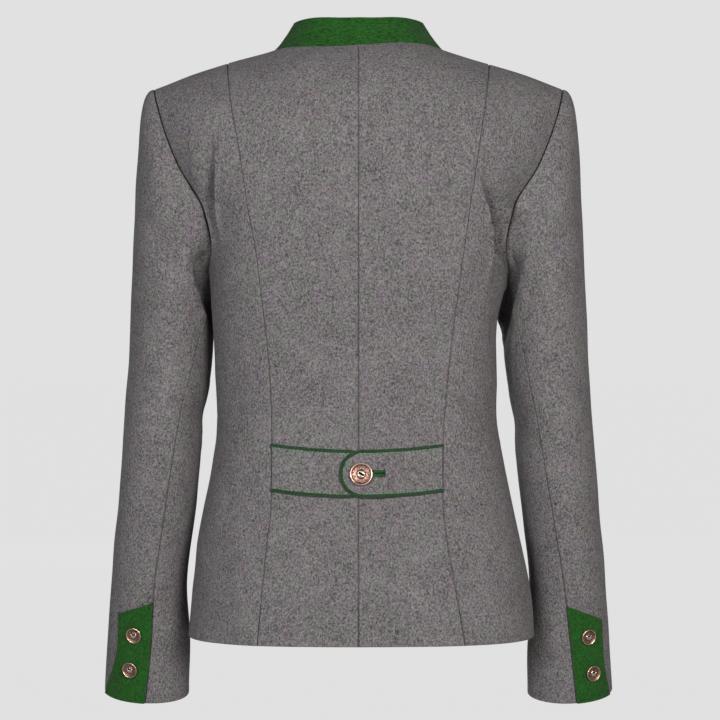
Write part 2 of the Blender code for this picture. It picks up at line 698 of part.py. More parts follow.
def tab(side_name):
    side = SIDES[side_name]
    end = along(PRINCESS, "height", side_name, BELT_MIDDLE) * side - 0.0004 * side
    if side > 0:
        stops = [mix(end, -0.010, i / 10) for i in range(11)]
        stops = [(across, 1.0) for across in stops]
    else:
        stops = [(mix(end, ROUND_END, i / 9), 1.0) for i in range(10)]
        stops += [(ROUND_END + BELT_HALF * math.sin(math.radians(a)), math.cos(math.radians(a))) for a in (20, 38, 54, 68, 80)]
    points, normals = [], []
    for share in (-1, -0.6, -0.2, 0.2, 0.6, 1):
        points.append([])
        normals.append([])
        for across, narrow in stops:
            point, normal = back_place(across, belt_line(across, share * narrow))
            points[-1].append(point + normal * (lap_height(across, side) + BELT_WALL))
            normals[-1].append(normal)
    return cloth(f"belt_tab_{side_name}", FINISH["grey_loden"], points, normals, wall=BELT_WALL, gap=0)


def piping(name, path, side):
    """A cord along the belt's edge: path = (across, height) stops."""
    cord = bpy.data.curves.new(name, "CURVE")
    cord.dimensions = "3D"
    cord.bevel_depth = PIPING_RADIUS
    cord.bevel_resolution = 2
    cord.use_fill_caps = True
    line = cord.splines.new("POLY")
    line.points.add(len(path) - 1)
    for stop, (across, height) in zip(line.points, path):
        point, normal = back_place(across, height)
        stop.co = (*(point + normal * (lap_height(across, side) + PIPING_RADIUS + 0.0001)), 1)
    return add(name, cord, FINISH["green_piping"])


def belt_piping():
    away = BELT_HALF + PIPING_RADIUS + SEAM_GAP
    share = away / BELT_HALF
    left = along(PRINCESS, "height", "left", BELT_MIDDLE) - 0.0008
    right = -along(PRINCESS, "height", "right", BELT_MIDDLE) + 0.0008
    for name, edge in (("top", share), ("bottom", -share)):
        stops = [mix(left, LEFT_PIPING_END, i / 12) for i in range(13)]
        path = [(across, belt_line(across, edge)) for across in stops]
        piping(f"belt_piping_{name}_left", path, 1)
    path = []
    for edge in (share, -share):
        run = [(mix(right, ROUND_END, i / 11), belt_line(mix(right, ROUND_END, i / 11), edge)) for i in range(12)]
        if edge < 0:
            for a in range(10, 171, 10):
                across = ROUND_END + away * math.sin(math.radians(a))
                path.append((across, belt_line(across, share * math.cos(math.radians(a)))))
            run.reverse()
        path += run
    piping("belt_piping_right", path, -1)


# --- buttons ---


def button(name, point, normal, radius, sides):
    """A turned button whose back rests a seam gap over this point."""
    outline = bmesh.new()
    profile = [(0.0, 0.41)] + [(row.radius, row.height) for row in reversed(BUTTON)] + [(0.0, 0.0)]
    corners = [outline.verts.new((across * radius, 0, up * radius)) for across, up in profile]
    for a, b in zip(corners, corners[1:]):
        outline.edges.new((a, b))
    mesh = bpy.data.meshes.new(name)
    outline.to_mesh(mesh)
    outline.free()
    made = add(name, mesh, FINISH["copper_buttons"])
    turning = made.modifiers.new("turned", "SCREW")
    turning.axis = "Z"
    turning.steps = turning.render_steps = sides
    turning.use_merge_vertices = True
    turning.merge_threshold = 0.00005
    turning.use_normal_calculate = True
    turning.use_smooth_shade = True
    made.location = point + normal * SEAM_GAP
    made.rotation_euler = normal.to_track_quat("Z", "Y").to_euler()
    return made


def buttons():
    across = -0.0015
    height = -0.4198
    point, normal = back_place(across, height)
    button("belt_button", point + normal * (lap_height(across, -1) + BELT_WALL), normal, 0.0112, 24)
    for side_name, side in SIDES.items():
        for i, (number, turn) in enumerate(CUFF_BUTTONS[side]):
            point, normal = mirrored(sleeve_point(turn, number), side), mirrored(sleeve_normal(turn, number), side)
            button(f"cuff_button_{side_name}_{i + 1}", point + normal * INSET_LIFT, normal, 0.0080, 16)
    for i, height in enumerate(FRONT_BUTTONS):
        turn = 180.0
        rise = rise_of(turn, height)
        normal = body_normal(turn, rise)
        button(f"front_button_{i + 1}", body_point(turn, rise) + normal * (LAP_LIFT + (0.0004 if height < -0.3 else 0)), normal, 0.0112, 16)


def main():
    for thing in list(bpy.data.objects):
        bpy.data.objects.remove(thing, do_unlink=True)
    bpy.context.scene.collection.children.link(bpy.data.collections.new(JACKET))
    FINISH["grey_loden"] = material("grey_loden", (0.19, 0.18, 0.185), 0.95)
    FINISH["green_loden"] = material("green_loden", (0.03, 0.11, 0.025), 0.95)
    FINISH["green_piping"] = material("green_piping", (0.035, 0.075, 0.03), 0.95)
    FINISH["copper_buttons"] = material("copper_buttons", (0.55, 0.33, 0.22), 0.35, 1.0)
    for side_name in SIDES:
        for face in ("back", "front"):
            centre_panel(side_name, face)
            side_panel(side_name, face)
        sleeve_panel("upper", side_name)
        sleeve_panel("under", side_name)
        inset(side_name)
        tab(side_name)
    collar()
    belt_piping()
    buttons()


main()
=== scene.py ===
"""Looks of the tyrolean loden jacket, in metres. Z is up, the front faces -Y and the wearer's left is +X.
The cloth is melange grey loden with leaf green loden at the collar and cuffs, dark green piping and copper buttons."""

import math
from collections import namedtuple

import bpy
import numpy as np
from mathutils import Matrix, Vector


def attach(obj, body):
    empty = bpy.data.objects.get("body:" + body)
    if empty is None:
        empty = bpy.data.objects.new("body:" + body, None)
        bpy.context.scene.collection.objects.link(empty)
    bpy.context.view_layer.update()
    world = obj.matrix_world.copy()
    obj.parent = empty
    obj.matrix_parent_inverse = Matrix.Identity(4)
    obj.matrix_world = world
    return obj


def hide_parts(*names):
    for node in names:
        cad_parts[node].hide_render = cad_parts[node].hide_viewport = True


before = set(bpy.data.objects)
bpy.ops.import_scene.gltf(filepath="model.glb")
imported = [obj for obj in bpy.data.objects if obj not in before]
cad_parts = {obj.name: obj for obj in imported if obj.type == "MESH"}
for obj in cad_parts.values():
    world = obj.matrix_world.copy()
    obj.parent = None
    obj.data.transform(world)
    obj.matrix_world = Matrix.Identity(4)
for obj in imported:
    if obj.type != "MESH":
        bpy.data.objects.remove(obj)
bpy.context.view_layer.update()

MM = 0.001


def placed(name, data):
    """A new object in the scene."""
    made = bpy.data.objects.new(name, data)
    bpy.context.scene.collection.objects.link(made)
    return made


# The camera stands level behind the jacket, at the height of its middle.
lens = bpy.data.cameras.new("camera")
lens.lens, lens.sensor_width, lens.shift_x = 130, 36, 0.0021
camera = placed("camera", lens)
camera.location = (0, 2.6, -0.31)
camera.rotation_euler = (math.radians(90), 0, math.radians(180))
bpy.context.scene.camera = camera
bpy.context.scene.view_settings.view_transform = "Standard"

# --- the jacket's sizes: those of its solids, but the sleeves lie up to 10 mm further forward ---


def table(columns, *rows):
    """Rows with named columns."""
    Row = namedtuple("Row", columns)
    return [Row(*row) for row in rows]


# Where something starts and ends, and over what distance it rises and falls there.
Span = namedtuple("Span", "start rise end fall")

WALL = 0.002
SEAM_GAP = 0.0003
HEM = -0.585
UNDERARM = -0.222
BODY_HEIGHT = 0.57
BACK_ROUNDING, FRONT_ROUNDING = 0.09, 0.11  # of the body over the shoulders
FULLNESS = 0.3
NECK_POINT = 0.0845
# The right front laps over the left one this far past the centre, and lies this much higher there.
LAP = 0.015
LAP_LIFT = 0.0032
SIDES = {"left": 1, "right": -1}

BODY = table(
    "height width back front sway",
    (-0.585, 0.1725, 0.112, 0.132, -0.003),
    (-0.542, 0.1690, 0.109, 0.129, -0.0028),
    (-0.500, 0.1630, 0.104, 0.124, -0.0012),
    (-0.458, 0.1547, 0.097, 0.118, 0.0),
    (-0.416, 0.1460, 0.091, 0.114, 0.0003),
    (-0.388, 0.1412, 0.0885, 0.112, 0.0006),
    (-0.365, 0.1396, 0.088, 0.112, 0.0012),
    (-0.318, 0.1412, 0.091, 0.1200, 0.0024),
    (-0.285, 0.1430, 0.095, 0.1295, 0.0024),
    (-0.250, 0.1457, 0.100, 0.1370, 0.0008),
    (-0.222, 0.1480, 0.103, 0.1400, 0.0),
    (-0.205, 0.1511, 0.104, 0.1400, 0.0),
    (-0.190, 0.1550, 0.105, 0.1382, 0.0),
    (-0.173, 0.1597, 0.106, 0.1340, 0.0),
    (-0.155, 0.1660, 0.106, 0.1272, 0.0),
    (-0.140, 0.1760, 0.105, 0.1195, 0.0),
    (-0.120, 0.1900, 0.104, 0.1080, 0.0),
    (-0.090, 0.2040, 0.103, 0.0900, 0.0),
    (-0.063, 0.2136, 0.102, 0.0765, 0.0),
    (-0.043, 0.2190, 0.100, 0.0680, 0.0),
    (0.030, 0.2300, 0.098, 0.058, 0.0),
)
SHOULDER = table(
    "across height",
    (0.0, 0.014),
    (0.050, 0.011),
    (0.0845, -0.0012),
    (0.105, -0.0074),
    (0.130, -0.0147),
    (0.165, -0.0252),
    (0.1985, -0.0380),
    (0.2035, -0.0400),
    (0.240, -0.060),
)
NECK = table(
    "across back front",
    (0.0, -0.001, -0.075),
    (0.020, -0.001, -0.0722),
    (0.043, 0.0, -0.0610),
    (0.062, 0.0, -0.0440),
    (0.076, -0.0005, -0.0235),
    (0.0845, -0.0012, -0.0012),
)
PRINCESS = table(
    "height left right front",
    (-0.585, 0.0979, 0.1024, 0.104),
    (-0.522, 0.0924, 0.0922, 0.094),
    (-0.488, 0.0887, 0.0862, 0.087),
    (-0.450, 0.0850, 0.0819, 0.082),
    (-0.392, 0.0843, 0.0821, 0.077),
    (-0.339, 0.0853, 0.0857, 0.0765),
    (-0.300, 0.0886, 0.0900, 0.080),
    (-0.247, 0.0943, 0.0965, 0.085),
    (-0.204, 0.0999, 0.1022, 0.090),
    (-0.160, 0.1076, 0.1085, 0.097),
    (-0.107, 0.1155, 0.1160, 0.108),
    (-0.056, 0.1246, 0.1240, 0.121),
    (-0.0134, 0.1303, 0.1303, 0.1303),
)
ARMHOLE = table(
    "along back back_height front front_height",
    (0.00, 90.0, -0.222, 90.0, -0.222),
    (0.09, 80.5, -0.2165, 81.0, -0.2170),
    (0.18, 72.6, -0.205, 72.5, -0.2060),
    (0.25, 69.2, -0.190, 66.5, -0.1930),
    (0.32, 68.3, -0.173, 62.3, -0.1770),
    (0.40, 68.0, -0.155, 59.0, -0.1580),
    (0.475, 68.0, -0.140, 57.3, -0.1410),
    (0.575, 68.0, -0.120, 56.5, -0.1190),
    (0.71, 68.0, -0.090, 58.5, -0.0900),
    (0.84, 68.0, -0.063, 62.0, -0.0640),
    (1.00, 68.0, -0.0405, 68.0, -0.0405),
)
SLEEVE = table(
    "number height outer inner middle depth tilt pitch seam_left seam_right seam_front",
    (1, -0.2125, 0.2252, 0.1480, -0.0150, 0.0625, 40.8, 0.0, 150.0, 144.0, 216.0),
    (2, -0.2500, 0.2286, 0.1463, -0.0210, 0.0625, 20.0, 0.0, 144.0, 140.0, 219.0),
    (3, -0.2900, 0.2302, 0.1463, -0.0230, 0.0610, 8.0, 0.0, 134.0, 130.0, 222.0),
    (4, -0.3300, 0.2328, 0.1500, -0.0220, 0.0590, 4.0, 0.5, 124.5, 123.0, 225.0),
    (5, -0.3750, 0.2357, 0.1568, -0.0205, 0.0560, 3.0, 2.0, 117.0, 118.0, 228.0),
    (6, -0.4200, 0.2389, 0.1600, -0.0205, 0.0530, 3.0, 5.0, 110.0, 110.5, 230.0),
    (7, -0.4750, 0.2442, 0.1665, -0.0240, 0.0490, 3.0, 7.5, 105.5, 105.0, 232.0),
    (8, -0.5300, 0.2495, 0.1731, -0.0310, 0.0450, 3.0, 9.0, 102.0, 99.5, 234.0),
    (9, -0.5900, 0.2540, 0.1715, -0.0410, 0.0415, 3.0, 10.0, 97.0, 90.5, 235.0),
    (10, -0.6468, 0.2585, 0.1722, -0.0500, 0.0400, 3.0, 12.0, 91.0, 85.0, 236.0),
)
SLEEVE_SEAM_START = 0.18  # how far up the armhole both sleeve seams start
# The curve of the sleeve's head at its outer side, at the back or front, and at the inner side:
# the way it leaves the armhole, and how far before ring 1 it takes the arm's direction.
HEAD_LEAVES = ((0.017, 0, 0.0008), (0.016, 0.003, -0.0116), (0.0042, 0, -0.0062))
HEAD_ARRIVES = (0.085, 0.034, 0.008)

# The turn of the cuff inset's free edge, at each ring number.
INSET = table(
    "ring left right",
    (8.37, 45.5, 37.7),
    (9.0, 47.5, 40.8),
    (9.35, 42.5, 39.2),
    (9.7, 32.0, 34.0),
    (10.0, 19.5, 27.0),
)
INSET_TOP = {"left": (8.235, 8.50), "right": (8.30, 8.62)}  # ring numbers, at the seam and at the free edge
INSET_LIFT = 0.0019
# (ring number, turn) of each button.
CUFF_BUTTONS = {"left": ((8.80, 74.4), (9.41, 70.4)), "right": ((8.84, 66.8), (9.49, 61.9))}

COLLAR_HEIGHT = 0.0275
BELT_MIDDLE, BELT_SAG = -0.4143, 0.0058
BELT_REACH, BELT_HALF = 0.083, 0.0200  # half its length and width
BELT_WALL = 0.0022
ROUND_END = -0.0048  # where the right tab's round end starts
CLIMB_START, CLIMB = -0.048, 0.030  # where it starts to climb on the left tab, and over what distance
LEFT_TAB_END, TUCKED_PIPING_END = -0.010, 0.0040
TUCKED_TAPER, TUCKED_WIDTH = 0.58, 0.0060  # how thin the left piping gets there, and over what distance
BELT_BUTTON, BELT_BUTTONHOLE = (-0.0026, -0.4208), (-0.0130, -0.4198)
PIPING_RADIUS, THREAD_RADIUS = 0.0016, 0.00040
FRONT_BUTTONS = (-0.102, -0.187, -0.272, -0.357, -0.442)

# How far the sleeve's edge falls back behind the body's, at each turn, where the cloth goes into the underarm hollow.
DRAWN_IN = table(
    "turn left right",
    (0, 0.0, 0.0),
    (60, 0.0, 0.0),
    (100, 0.0, 0.0),
    (114, 0.0024, 0.0032),
    (128, 0.0062, 0.0062),
    (142, 0.0110, 0.0080),
    (156, 0.0130, 0.0090),
    (168, 0.0115, 0.0088),
    (176, 0.0040, 0.0035),
    (182, 0.0, 0.0),
    (200, 0.0, 0.0),
    (360, 0.0, 0.0),
)
DRAWN_WIDTH = 0.018  # of the sleeve's cloth that is drawn in with its edge
DRAWN_CROSSING = 12  # degrees to each side of the underarm over which it changes from forward to back
EDGE_COVER = 0.0014  # how far the body's edge then stands over the sleeve
COVERS = Span(-0.10, 0.10, 0.30, 0.35)  # how far up the armhole it does

# A fold is a line of stops: a place across, a height, the fold's half width and its depth. A depth below 0 swells.
# hard is the share of the half width that the side towards the centre keeps.
FoldStop = namedtuple("FoldStop", "place height half_width depth hard", defaults=[1.0])


def fold(*stops):
    return [FoldStop(*stop) for stop in stops]


# This one crosses the right side seam under the armhole, so both faces have it.
SIDE_FOLD = fold(
    (0.1450, -0.236, 0.010, 0.0), (0.1440, -0.264, 0.014, 0.0034), (0.1430, -0.290, 0.015, 0.0030),
    (0.1410, -0.335, 0.014, 0.0),
)
# On the body, a stop's place is its distance from the centre.
BODY_FOLDS = {
    ("back", "left"): [
        fold(
            (0.1430, -0.086, 0.012, 0.0, 0.6), (0.1438, -0.116, 0.012, 0.0050, 0.36),
            (0.1432, -0.140, 0.010, 0.0130, 0.38), (0.1430, -0.163, 0.010, 0.0160, 0.38),
            (0.1428, -0.178, 0.010, 0.0110, 0.42), (0.1426, -0.196, 0.009, 0.0, 0.6),
        ),
        fold((0.1180, -0.300, 0.020, 0.0), (0.1160, -0.350, 0.024, 0.0016), (0.1190, -0.400, 0.020, 0.0)),
        fold((0.1330, -0.455, 0.016, 0.0), (0.1400, -0.520, 0.022, 0.0014), (0.1420, -0.590, 0.026, 0.0018)),
    ],
    ("back", "right"): [
        fold(
            (0.1210, -0.122, 0.010, 0.0, 0.7), (0.1262, -0.145, 0.010, 0.0055, 0.5),
            (0.1312, -0.163, 0.011, 0.0150, 0.40), (0.1350, -0.184, 0.012, 0.0190, 0.40),
            (0.1368, -0.206, 0.012, 0.0160, 0.42), (0.1366, -0.222, 0.011, 0.0060, 0.5),
            (0.1362, -0.240, 0.010, 0.0, 0.8),
        ),
        SIDE_FOLD,
        fold((0.1210, -0.310, 0.020, 0.0), (0.1190, -0.360, 0.022, 0.0013), (0.1215, -0.405, 0.020, 0.0)),
        fold((0.0460, -0.470, 0.018, 0.0), (0.0480, -0.540, 0.026, 0.0009), (0.0490, -0.590, 0.028, 0.0012)),
    ],
    ("front", "left"): [
        fold(
            (0.1290, -0.102, 0.010, 0.0), (0.1270, -0.132, 0.012, 0.0026), (0.1285, -0.160, 0.011, 0.0030),
            (0.1320, -0.186, 0.008, 0.0),
        ),
        fold(
            (0.0500, -0.335, 0.016, 0.0), (0.0740, -0.352, 0.020, 0.0016), (0.1100, -0.360, 0.022, 0.0014),
            (0.1360, -0.352, 0.018, 0.0),
        ),
    ],
    ("front", "right"): [
        fold(
            (0.1310, -0.110, 0.010, 0.0), (0.1290, -0.140, 0.012, 0.0032), (0.1310, -0.168, 0.010, 0.0024),
            (0.1340, -0.188, 0.007, 0.0),
        ),
        SIDE_FOLD,
        fold((0.0560, -0.348, 0.016, 0.0), (0.0860, -0.366, 0.022, 0.0018), (0.1240, -0.372, 0.018, 0.0)),
    ],
}
# On a sleeve, a stop's place is its turn from the outer side.
SLEEVE_FOLDS = {
    "left": [
        fold(
            (44, -0.158, 0.014, 0.0), (68, -0.186, 0.017, 0.0032), (96, -0.214, 0.017, 0.0036),
            (128, -0.246, 0.014, 0.0),
        ),
        fold(
            (92, -0.344, 0.014, 0.0), (140, -0.360, 0.017, 0.0018), (185, -0.366, 0.019, 0.0020),
            (225, -0.360, 0.017, 0.0034), (270, -0.346, 0.014, 0.0),
        ),
        fold((230, -0.205, 0.014, 0.0), (262, -0.225, 0.017, 0.0034), (300, -0.218, 0.014, 0.0)),
        fold((60, -0.270, 0.012, 0.0), (92, -0.300, 0.016, 0.0014), (118, -0.322, 0.012, 0.0)),
        fold((198, -0.396, 0.012, 0.0), (232, -0.408, 0.014, 0.0026), (262, -0.400, 0.012, 0.0)),
        fold(
            (124, -0.180, 0.010, 0.0), (138, -0.200, 0.014, 0.0060), (149, -0.220, 0.018, 0.0165),
            (156, -0.240, 0.017, 0.0130), (165, -0.264, 0.014, 0.0040), (172, -0.290, 0.010, 0.0),
        ),
        fold((200, -0.214, 0.012, 0.0), (204, -0.236, 0.016, -0.0026), (208, -0.264, 0.014, 0.0)),
        fold((250, -0.430, 0.014, 0.0), (276, -0.470, 0.018, 0.0018), (290, -0.520, 0.014, 0.0)),
    ],
    "right": [
        fold(
            (50, -0.166, 0.014, 0.0), (76, -0.194, 0.017, 0.0026), (102, -0.222, 0.016, 0.0028),
            (130, -0.252, 0.014, 0.0),
        ),
        fold(
            (100, -0.350, 0.014, 0.0), (150, -0.370, 0.017, 0.0012), (190, -0.374, 0.019, 0.0014),
            (228, -0.366, 0.017, 0.0034), (268, -0.352, 0.014, 0.0),
        ),
        fold((232, -0.212, 0.014, 0.0), (268, -0.232, 0.017, 0.0030), (304, -0.222, 0.014, 0.0)),
        fold((52, -0.292, 0.012, 0.0), (84, -0.314, 0.016, 0.0012), (112, -0.334, 0.012, 0.0)),
        fold((200, -0.404, 0.012, 0.0), (236, -0.416, 0.014, 0.0024), (266, -0.408, 0.012, 0.0)),
        fold(
            (118, -0.172, 0.009, 0.0), (136, -0.198, 0.013, 0.0060), (149, -0.220, 0.014, 0.0100),
            (160, -0.244, 0.016, 0.0078), (168, -0.270, 0.016, 0.0050), (174, -0.305, 0.012, 0.0),
        ),
        fold(
            (200, -0.216, 0.014, 0.0), (204, -0.242, 0.018, -0.0055), (206, -0.268, 0.017, -0.0086),
            (207, -0.281, 0.011, -0.0040), (208, -0.287, 0.009, 0.0),
        ),
        fold((256, -0.440, 0.014, 0.0), (282, -0.486, 0.018, 0.0016), (296, -0.530, 0.014, 0.0)),
    ],
}
TURN_WIDTH = 0.00075  # how wide a degree of turn is on a sleeve, for its folds


def column(rows, name):
    return np.array([getattr(row, name) for row in rows], float)


def smooth_curve(stops, values, at):
    """A smooth curve through values at rising stops."""
    slopes = np.gradient(values, stops)
    slopes[1:-1] = (values[2:] - values[:-2]) / (stops[2:] - stops[:-2])
    at = np.clip(at, stops[0], stops[-1])
    i = np.clip(np.searchsorted(stops, at, side="right") - 1, 0, len(stops) - 2)
    d = stops[i + 1] - stops[i]
    t = (at - stops[i]) / d
    return (
        (2 * t**3 - 3 * t**2 + 1) * values[i]
        + (t**3 - 2 * t**2 + t) * d * slopes[i]
        + (3 * t**2 - 2 * t**3) * values[i + 1]
        + (t**3 - t**2) * d * slopes[i + 1]
    )


def along(rows, key, value, at):
    """A table's value at a key, on a smooth curve through its rows."""
    return smooth_curve(column(rows, key), column(rows, value), np.asarray(at, float))


def together(*values):
    """Numbers and arrays as arrays of one shape."""
    return np.broadcast_arrays(*(np.asarray(value, float) for value in values))


def smooth(x):
    x = np.clip(x, 0.0, 1.0)
    return x * x * (3 - 2 * x)


def within(span, x):
    """1 inside a span, rising from its start and falling from its end."""
    return smooth((x - span.start) / span.rise) * (1 - smooth((x - span.end) / span.fall))


def mix(a, b, t):
    return a + (b - a) * t


def unit(vectors):
    return vectors / np.maximum(np.linalg.norm(vectors, axis=-1, keepdims=True), 1e-12)


def facing(normals, outward):
    """Normals turned over where they point inward."""
    return normals * np.where((normals * outward).sum(-1, keepdims=True) > 0, 1, -1)


def mirrored(points, side_name):
    return points * np.array([SIDES[side_name], 1, 1])


# --- the body's surface: turn 0 is the centre back, 180 the centre front; rise 0 is the hem, 1 the shoulder ridge ---


def rounding_of(turn):
    return np.where(np.abs(turn) <= 90, BACK_ROUNDING, FRONT_ROUNDING)


def knee_of(rounding):
    """The rise where the body starts to round over the shoulder."""
    drop = BODY_HEIGHT - rounding
    return drop / (drop + rounding * math.pi / 2)


def height_of(rise, ridge, rounding):
    knee = knee_of(rounding)
    straight = HEM + (ridge - rounding - HEM) * rise / knee
    rounded = ridge - rounding * (1 - np.cos((1 - rise) / (1 - knee) * math.pi / 2))
    return np.where(rise < knee, straight, rounded)


def width_at(height):
    return along(BODY, "height", "width", height)


def ridge_at(across):
    return along(SHOULDER, "across", "height", np.abs(across))


SETTLING_ROUNDS = 9


def settled(rise, rounding, across_at):
    """(across, height) at a rise, in a few rounds: the height depends on the ridge above, and the ridge on across."""
    height = height_of(rise, ridge_at(0.1), rounding)
    for _ in range(SETTLING_ROUNDS):
        across = across_at(height)
        height = height_of(rise, ridge_at(across), rounding)
    return across, height


def rise_of(turn, height):
    rounding = rounding_of(turn)
    knee = knee_of(rounding)
    ridge = ridge_at(width_at(height) * np.sin(np.radians(turn)))
    drop = ridge - height
    rounded = 1 - np.arccos(np.clip(1 - drop / rounding, -1, 1)) / (math.pi / 2) * (1 - knee)
    return np.where(drop >= rounding, knee * (height - HEM) / (ridge - rounding - HEM), rounded)


def body_point(turn, rise):
    turn, rise = together(turn, rise)
    rounding = rounding_of(turn)
    sine, cosine = np.sin(np.radians(turn)), np.cos(np.radians(turn))
    across, height = settled(rise, rounding, lambda height: width_at(height) * sine)
    back, front = (along(BODY, "height", face, height) for face in ("back", "front"))
    depth = np.where(np.abs(turn) <= 90, back, front)
    full = depth * cosine * (1 + FULLNESS * sine * sine)
    knee = knee_of(rounding)
    over = np.where(rise > knee, np.sin((1 - rise) / (1 - knee) * math.pi / 2), 1)
    return np.stack([across, full * over, height], axis=-1)


def body_normal(turn, rise):
    near, step = 0.4, 0.002
    turn, rise = together(turn, rise)
    at_side = np.abs(np.abs(turn) - 90) < near
    height = body_point(turn, rise)[..., 2]
    before = np.where(at_side, rise_of(turn - near, height), rise)
    after = np.where(at_side, rise_of(turn + near, height), rise)
    across = body_point(turn + near, after) - body_point(turn - near, before)
    up = body_point(turn, np.minimum(rise + step, 1)) - body_point(turn, np.maximum(rise - step, 0))
    away = np.where(np.abs(turn) <= 90, 1, -1) * np.abs(np.cos(np.radians(turn)))
    outward = np.stack([np.sin(np.radians(turn)), away, np.full_like(turn, 0.4)], axis=-1)
    return facing(unit(np.cross(across, up)), outward)


def turn_at(across, height):
    return np.degrees(np.arcsin(np.clip(across / width_at(height), -1, 1)))


def whole_turn(turn, face):
    return turn if face == "back" else 180 - turn


def princess_turn(seam, rise, face):
    """The turn from that face's centre of a princess seam."""
    rounding = BACK_ROUNDING if face == "back" else FRONT_ROUNDING
    return turn_at(*settled(rise, rounding, lambda height: along(PRINCESS, "height", seam, height)))


ARMHOLE_RISE = {}
for face in ("back", "front"):
    ARMHOLE_RISE[face] = rise_of(whole_turn(column(ARMHOLE, face), face), column(ARMHOLE, face + "_height"))
    ARMHOLE_RISE[face][-1] = 1.0


def armhole(step, face):
    """(turn from the face's centre, rise) on the armhole's edge: step 0 is the underarm, 1 the shoulder."""
    step = np.asarray(step, float)
    return along(ARMHOLE, "along", face, step), smooth_curve(column(ARMHOLE, "along"), ARMHOLE_RISE[face], step)


def neck_place(angle, face):
    """(turn, rise) on the neck edge: angle 0 is the centre, 90 the neck point."""
    across = NECK_POINT * np.sin(np.radians(angle))
    height = along(NECK, "across", face, np.abs(across))
    turn = turn_at(across, height)
    rise = rise_of(whole_turn(turn, face), height)
    at_point = np.asarray(angle) >= 89.999
    return np.where(at_point, turn_at(NECK_POINT, 0.0), turn), np.where(at_point, 1.0, rise)


# --- sleeves: turn 0 is the outer side, 90 the back, 180 the inner side, 270 the front ---
# Their rings are numbered: 0 is the armhole, 10 the cuff.


def armhole_point(turn):
    turn = np.mod(turn, 360)
    step = np.abs(180 - turn) / 180
    (back_turn, back_rise), (front_turn, front_rise) = armhole(step, "back"), armhole(step, "front")
    on_back = turn <= 180
    return body_point(np.where(on_back, back_turn, 180 - front_turn), np.where(on_back, back_rise, front_rise))


def ring_point(turn, number):
    turn, number = together(turn, number)
    names = ("outer", "inner", "middle", "depth", "height", "tilt", "pitch")
    outer, inner, middle, depth, height, tilt, pitch = (along(SLEEVE, "number", name, number) for name in names)
    half, tilt, pitch, angle = (outer - inner) / 2, np.radians(tilt), np.radians(pitch), np.radians(turn)
    centre = np.stack([(outer + inner) / 2, middle, height], axis=-1)
    across = np.stack([half, 0 * half, half * np.tan(tilt)], axis=-1)
    through = np.stack([0 * half, depth * np.cos(pitch), -depth * np.sin(pitch)], axis=-1)
    return centre + across * np.cos(angle)[..., None] + through * np.sin(angle)[..., None]


def sleeve_point(turn, number):
    turn, number = together(turn, number)
    angle = np.radians(turn)
    weights = (np.maximum(np.cos(angle), 0) ** 2, np.sin(angle) ** 2, np.maximum(-np.cos(angle), 0) ** 2)
    leaves = sum(np.array(vector) * weight[..., None] for vector, weight in zip(HEAD_LEAVES, weights))
    leaves[..., 1] *= np.sin(angle)
    arrives = unit(ring_point(turn, 1.05) - ring_point(turn, 1))
    arrives = arrives * sum(reach * weight for reach, weight in zip(HEAD_ARRIVES, weights))[..., None]
    a, d = armhole_point(turn), ring_point(turn, 1)
    b, c, t = a + leaves, d - arrives, np.clip(number, 0, 1)[..., None]
    head = a * (1 - t) ** 3 + b * 3 * t * (1 - t) ** 2 + c * 3 * t * t * (1 - t) + d * t**3
    return np.where(number[..., None] >= 1, ring_point(turn, number), head)


def sleeve_normal(turn, number):
    near, step = 1.5, 0.02
    turn, number = together(turn, number)
    low, high = np.maximum(number - step, 0), np.minimum(number + step, 10)
    low = np.where(number >= 1, np.maximum(low, 1), low)
    high = np.where(number < 1, np.minimum(high, 1), high)
    across = sleeve_point(turn + near, number) - sleeve_point(turn - near, number)
    outward = ring_point(turn, np.maximum(number, 1)) - ring_point(turn + 180, np.maximum(number, 1))
    return facing(unit(np.cross(across, sleeve_point(turn, high) - sleeve_point(turn, low))), outward)


def sleeve_turns(side_name, number):
    """The turns of the back and of the front seam."""
    start = 180 * (1 - SLEEVE_SEAM_START)
    turns = []
    for seam, at_armhole in (("seam_" + side_name, start), ("seam_front", 360 - start)):
        head = mix(at_armhole, getattr(SLEEVE[0], seam), smooth(number))
        turns.append(np.where(number <= 1, head, along(SLEEVE, "number", seam, number)))
    return turns


# --- folds and unevenness ---

RIDGE = 0.22  # how high the ridge beside a trough stands, as a share of its depth


def pressed(folds, places, scale=1.0):
    """How deep the folds press at each (place, height), with a soft ridge beside each trough."""
    deepest = np.zeros(places.shape[:-1])
    highest = np.zeros_like(deepest)
    for stops in folds:
        trough, ridge = np.zeros_like(deepest), np.zeros_like(deepest)
        for a, b in zip(stops, stops[1:]):
            start = np.array([a.place * scale, a.height])
            run = np.array([b.place * scale, b.height]) - start
            t = np.clip(((places - start) @ run) / (run @ run), 0, 1)
            off = places - (start + run * t[..., None])
            # Seen down the line, the places on its left are on the side away from the centre.
            inward = run[0] * off[..., 1] - run[1] * off[..., 0] < 0
            wide = mix(a.half_width, b.half_width, t) * np.where(inward, mix(a.hard, b.hard, t), 1)
            away = np.linalg.norm(off, axis=-1) / wide
            depth = mix(a.depth, b.depth, t)
            bowl = np.where(away < 1, (1 - away * away) ** 2, 0)
            beside = np.where((away > 0.9) & (away < 2.1), np.sin((away - 0.9) / 1.2 * math.pi) ** 2, 0)
            trough = np.maximum(trough, depth * bowl)
            ridge = np.maximum(ridge, np.where(depth > 0, depth * RIDGE * beside, -depth * bowl))
        deepest = np.maximum(deepest, trough)
        highest = np.maximum(highest, np.where(trough > 0, 0, ridge))
    return deepest - highest


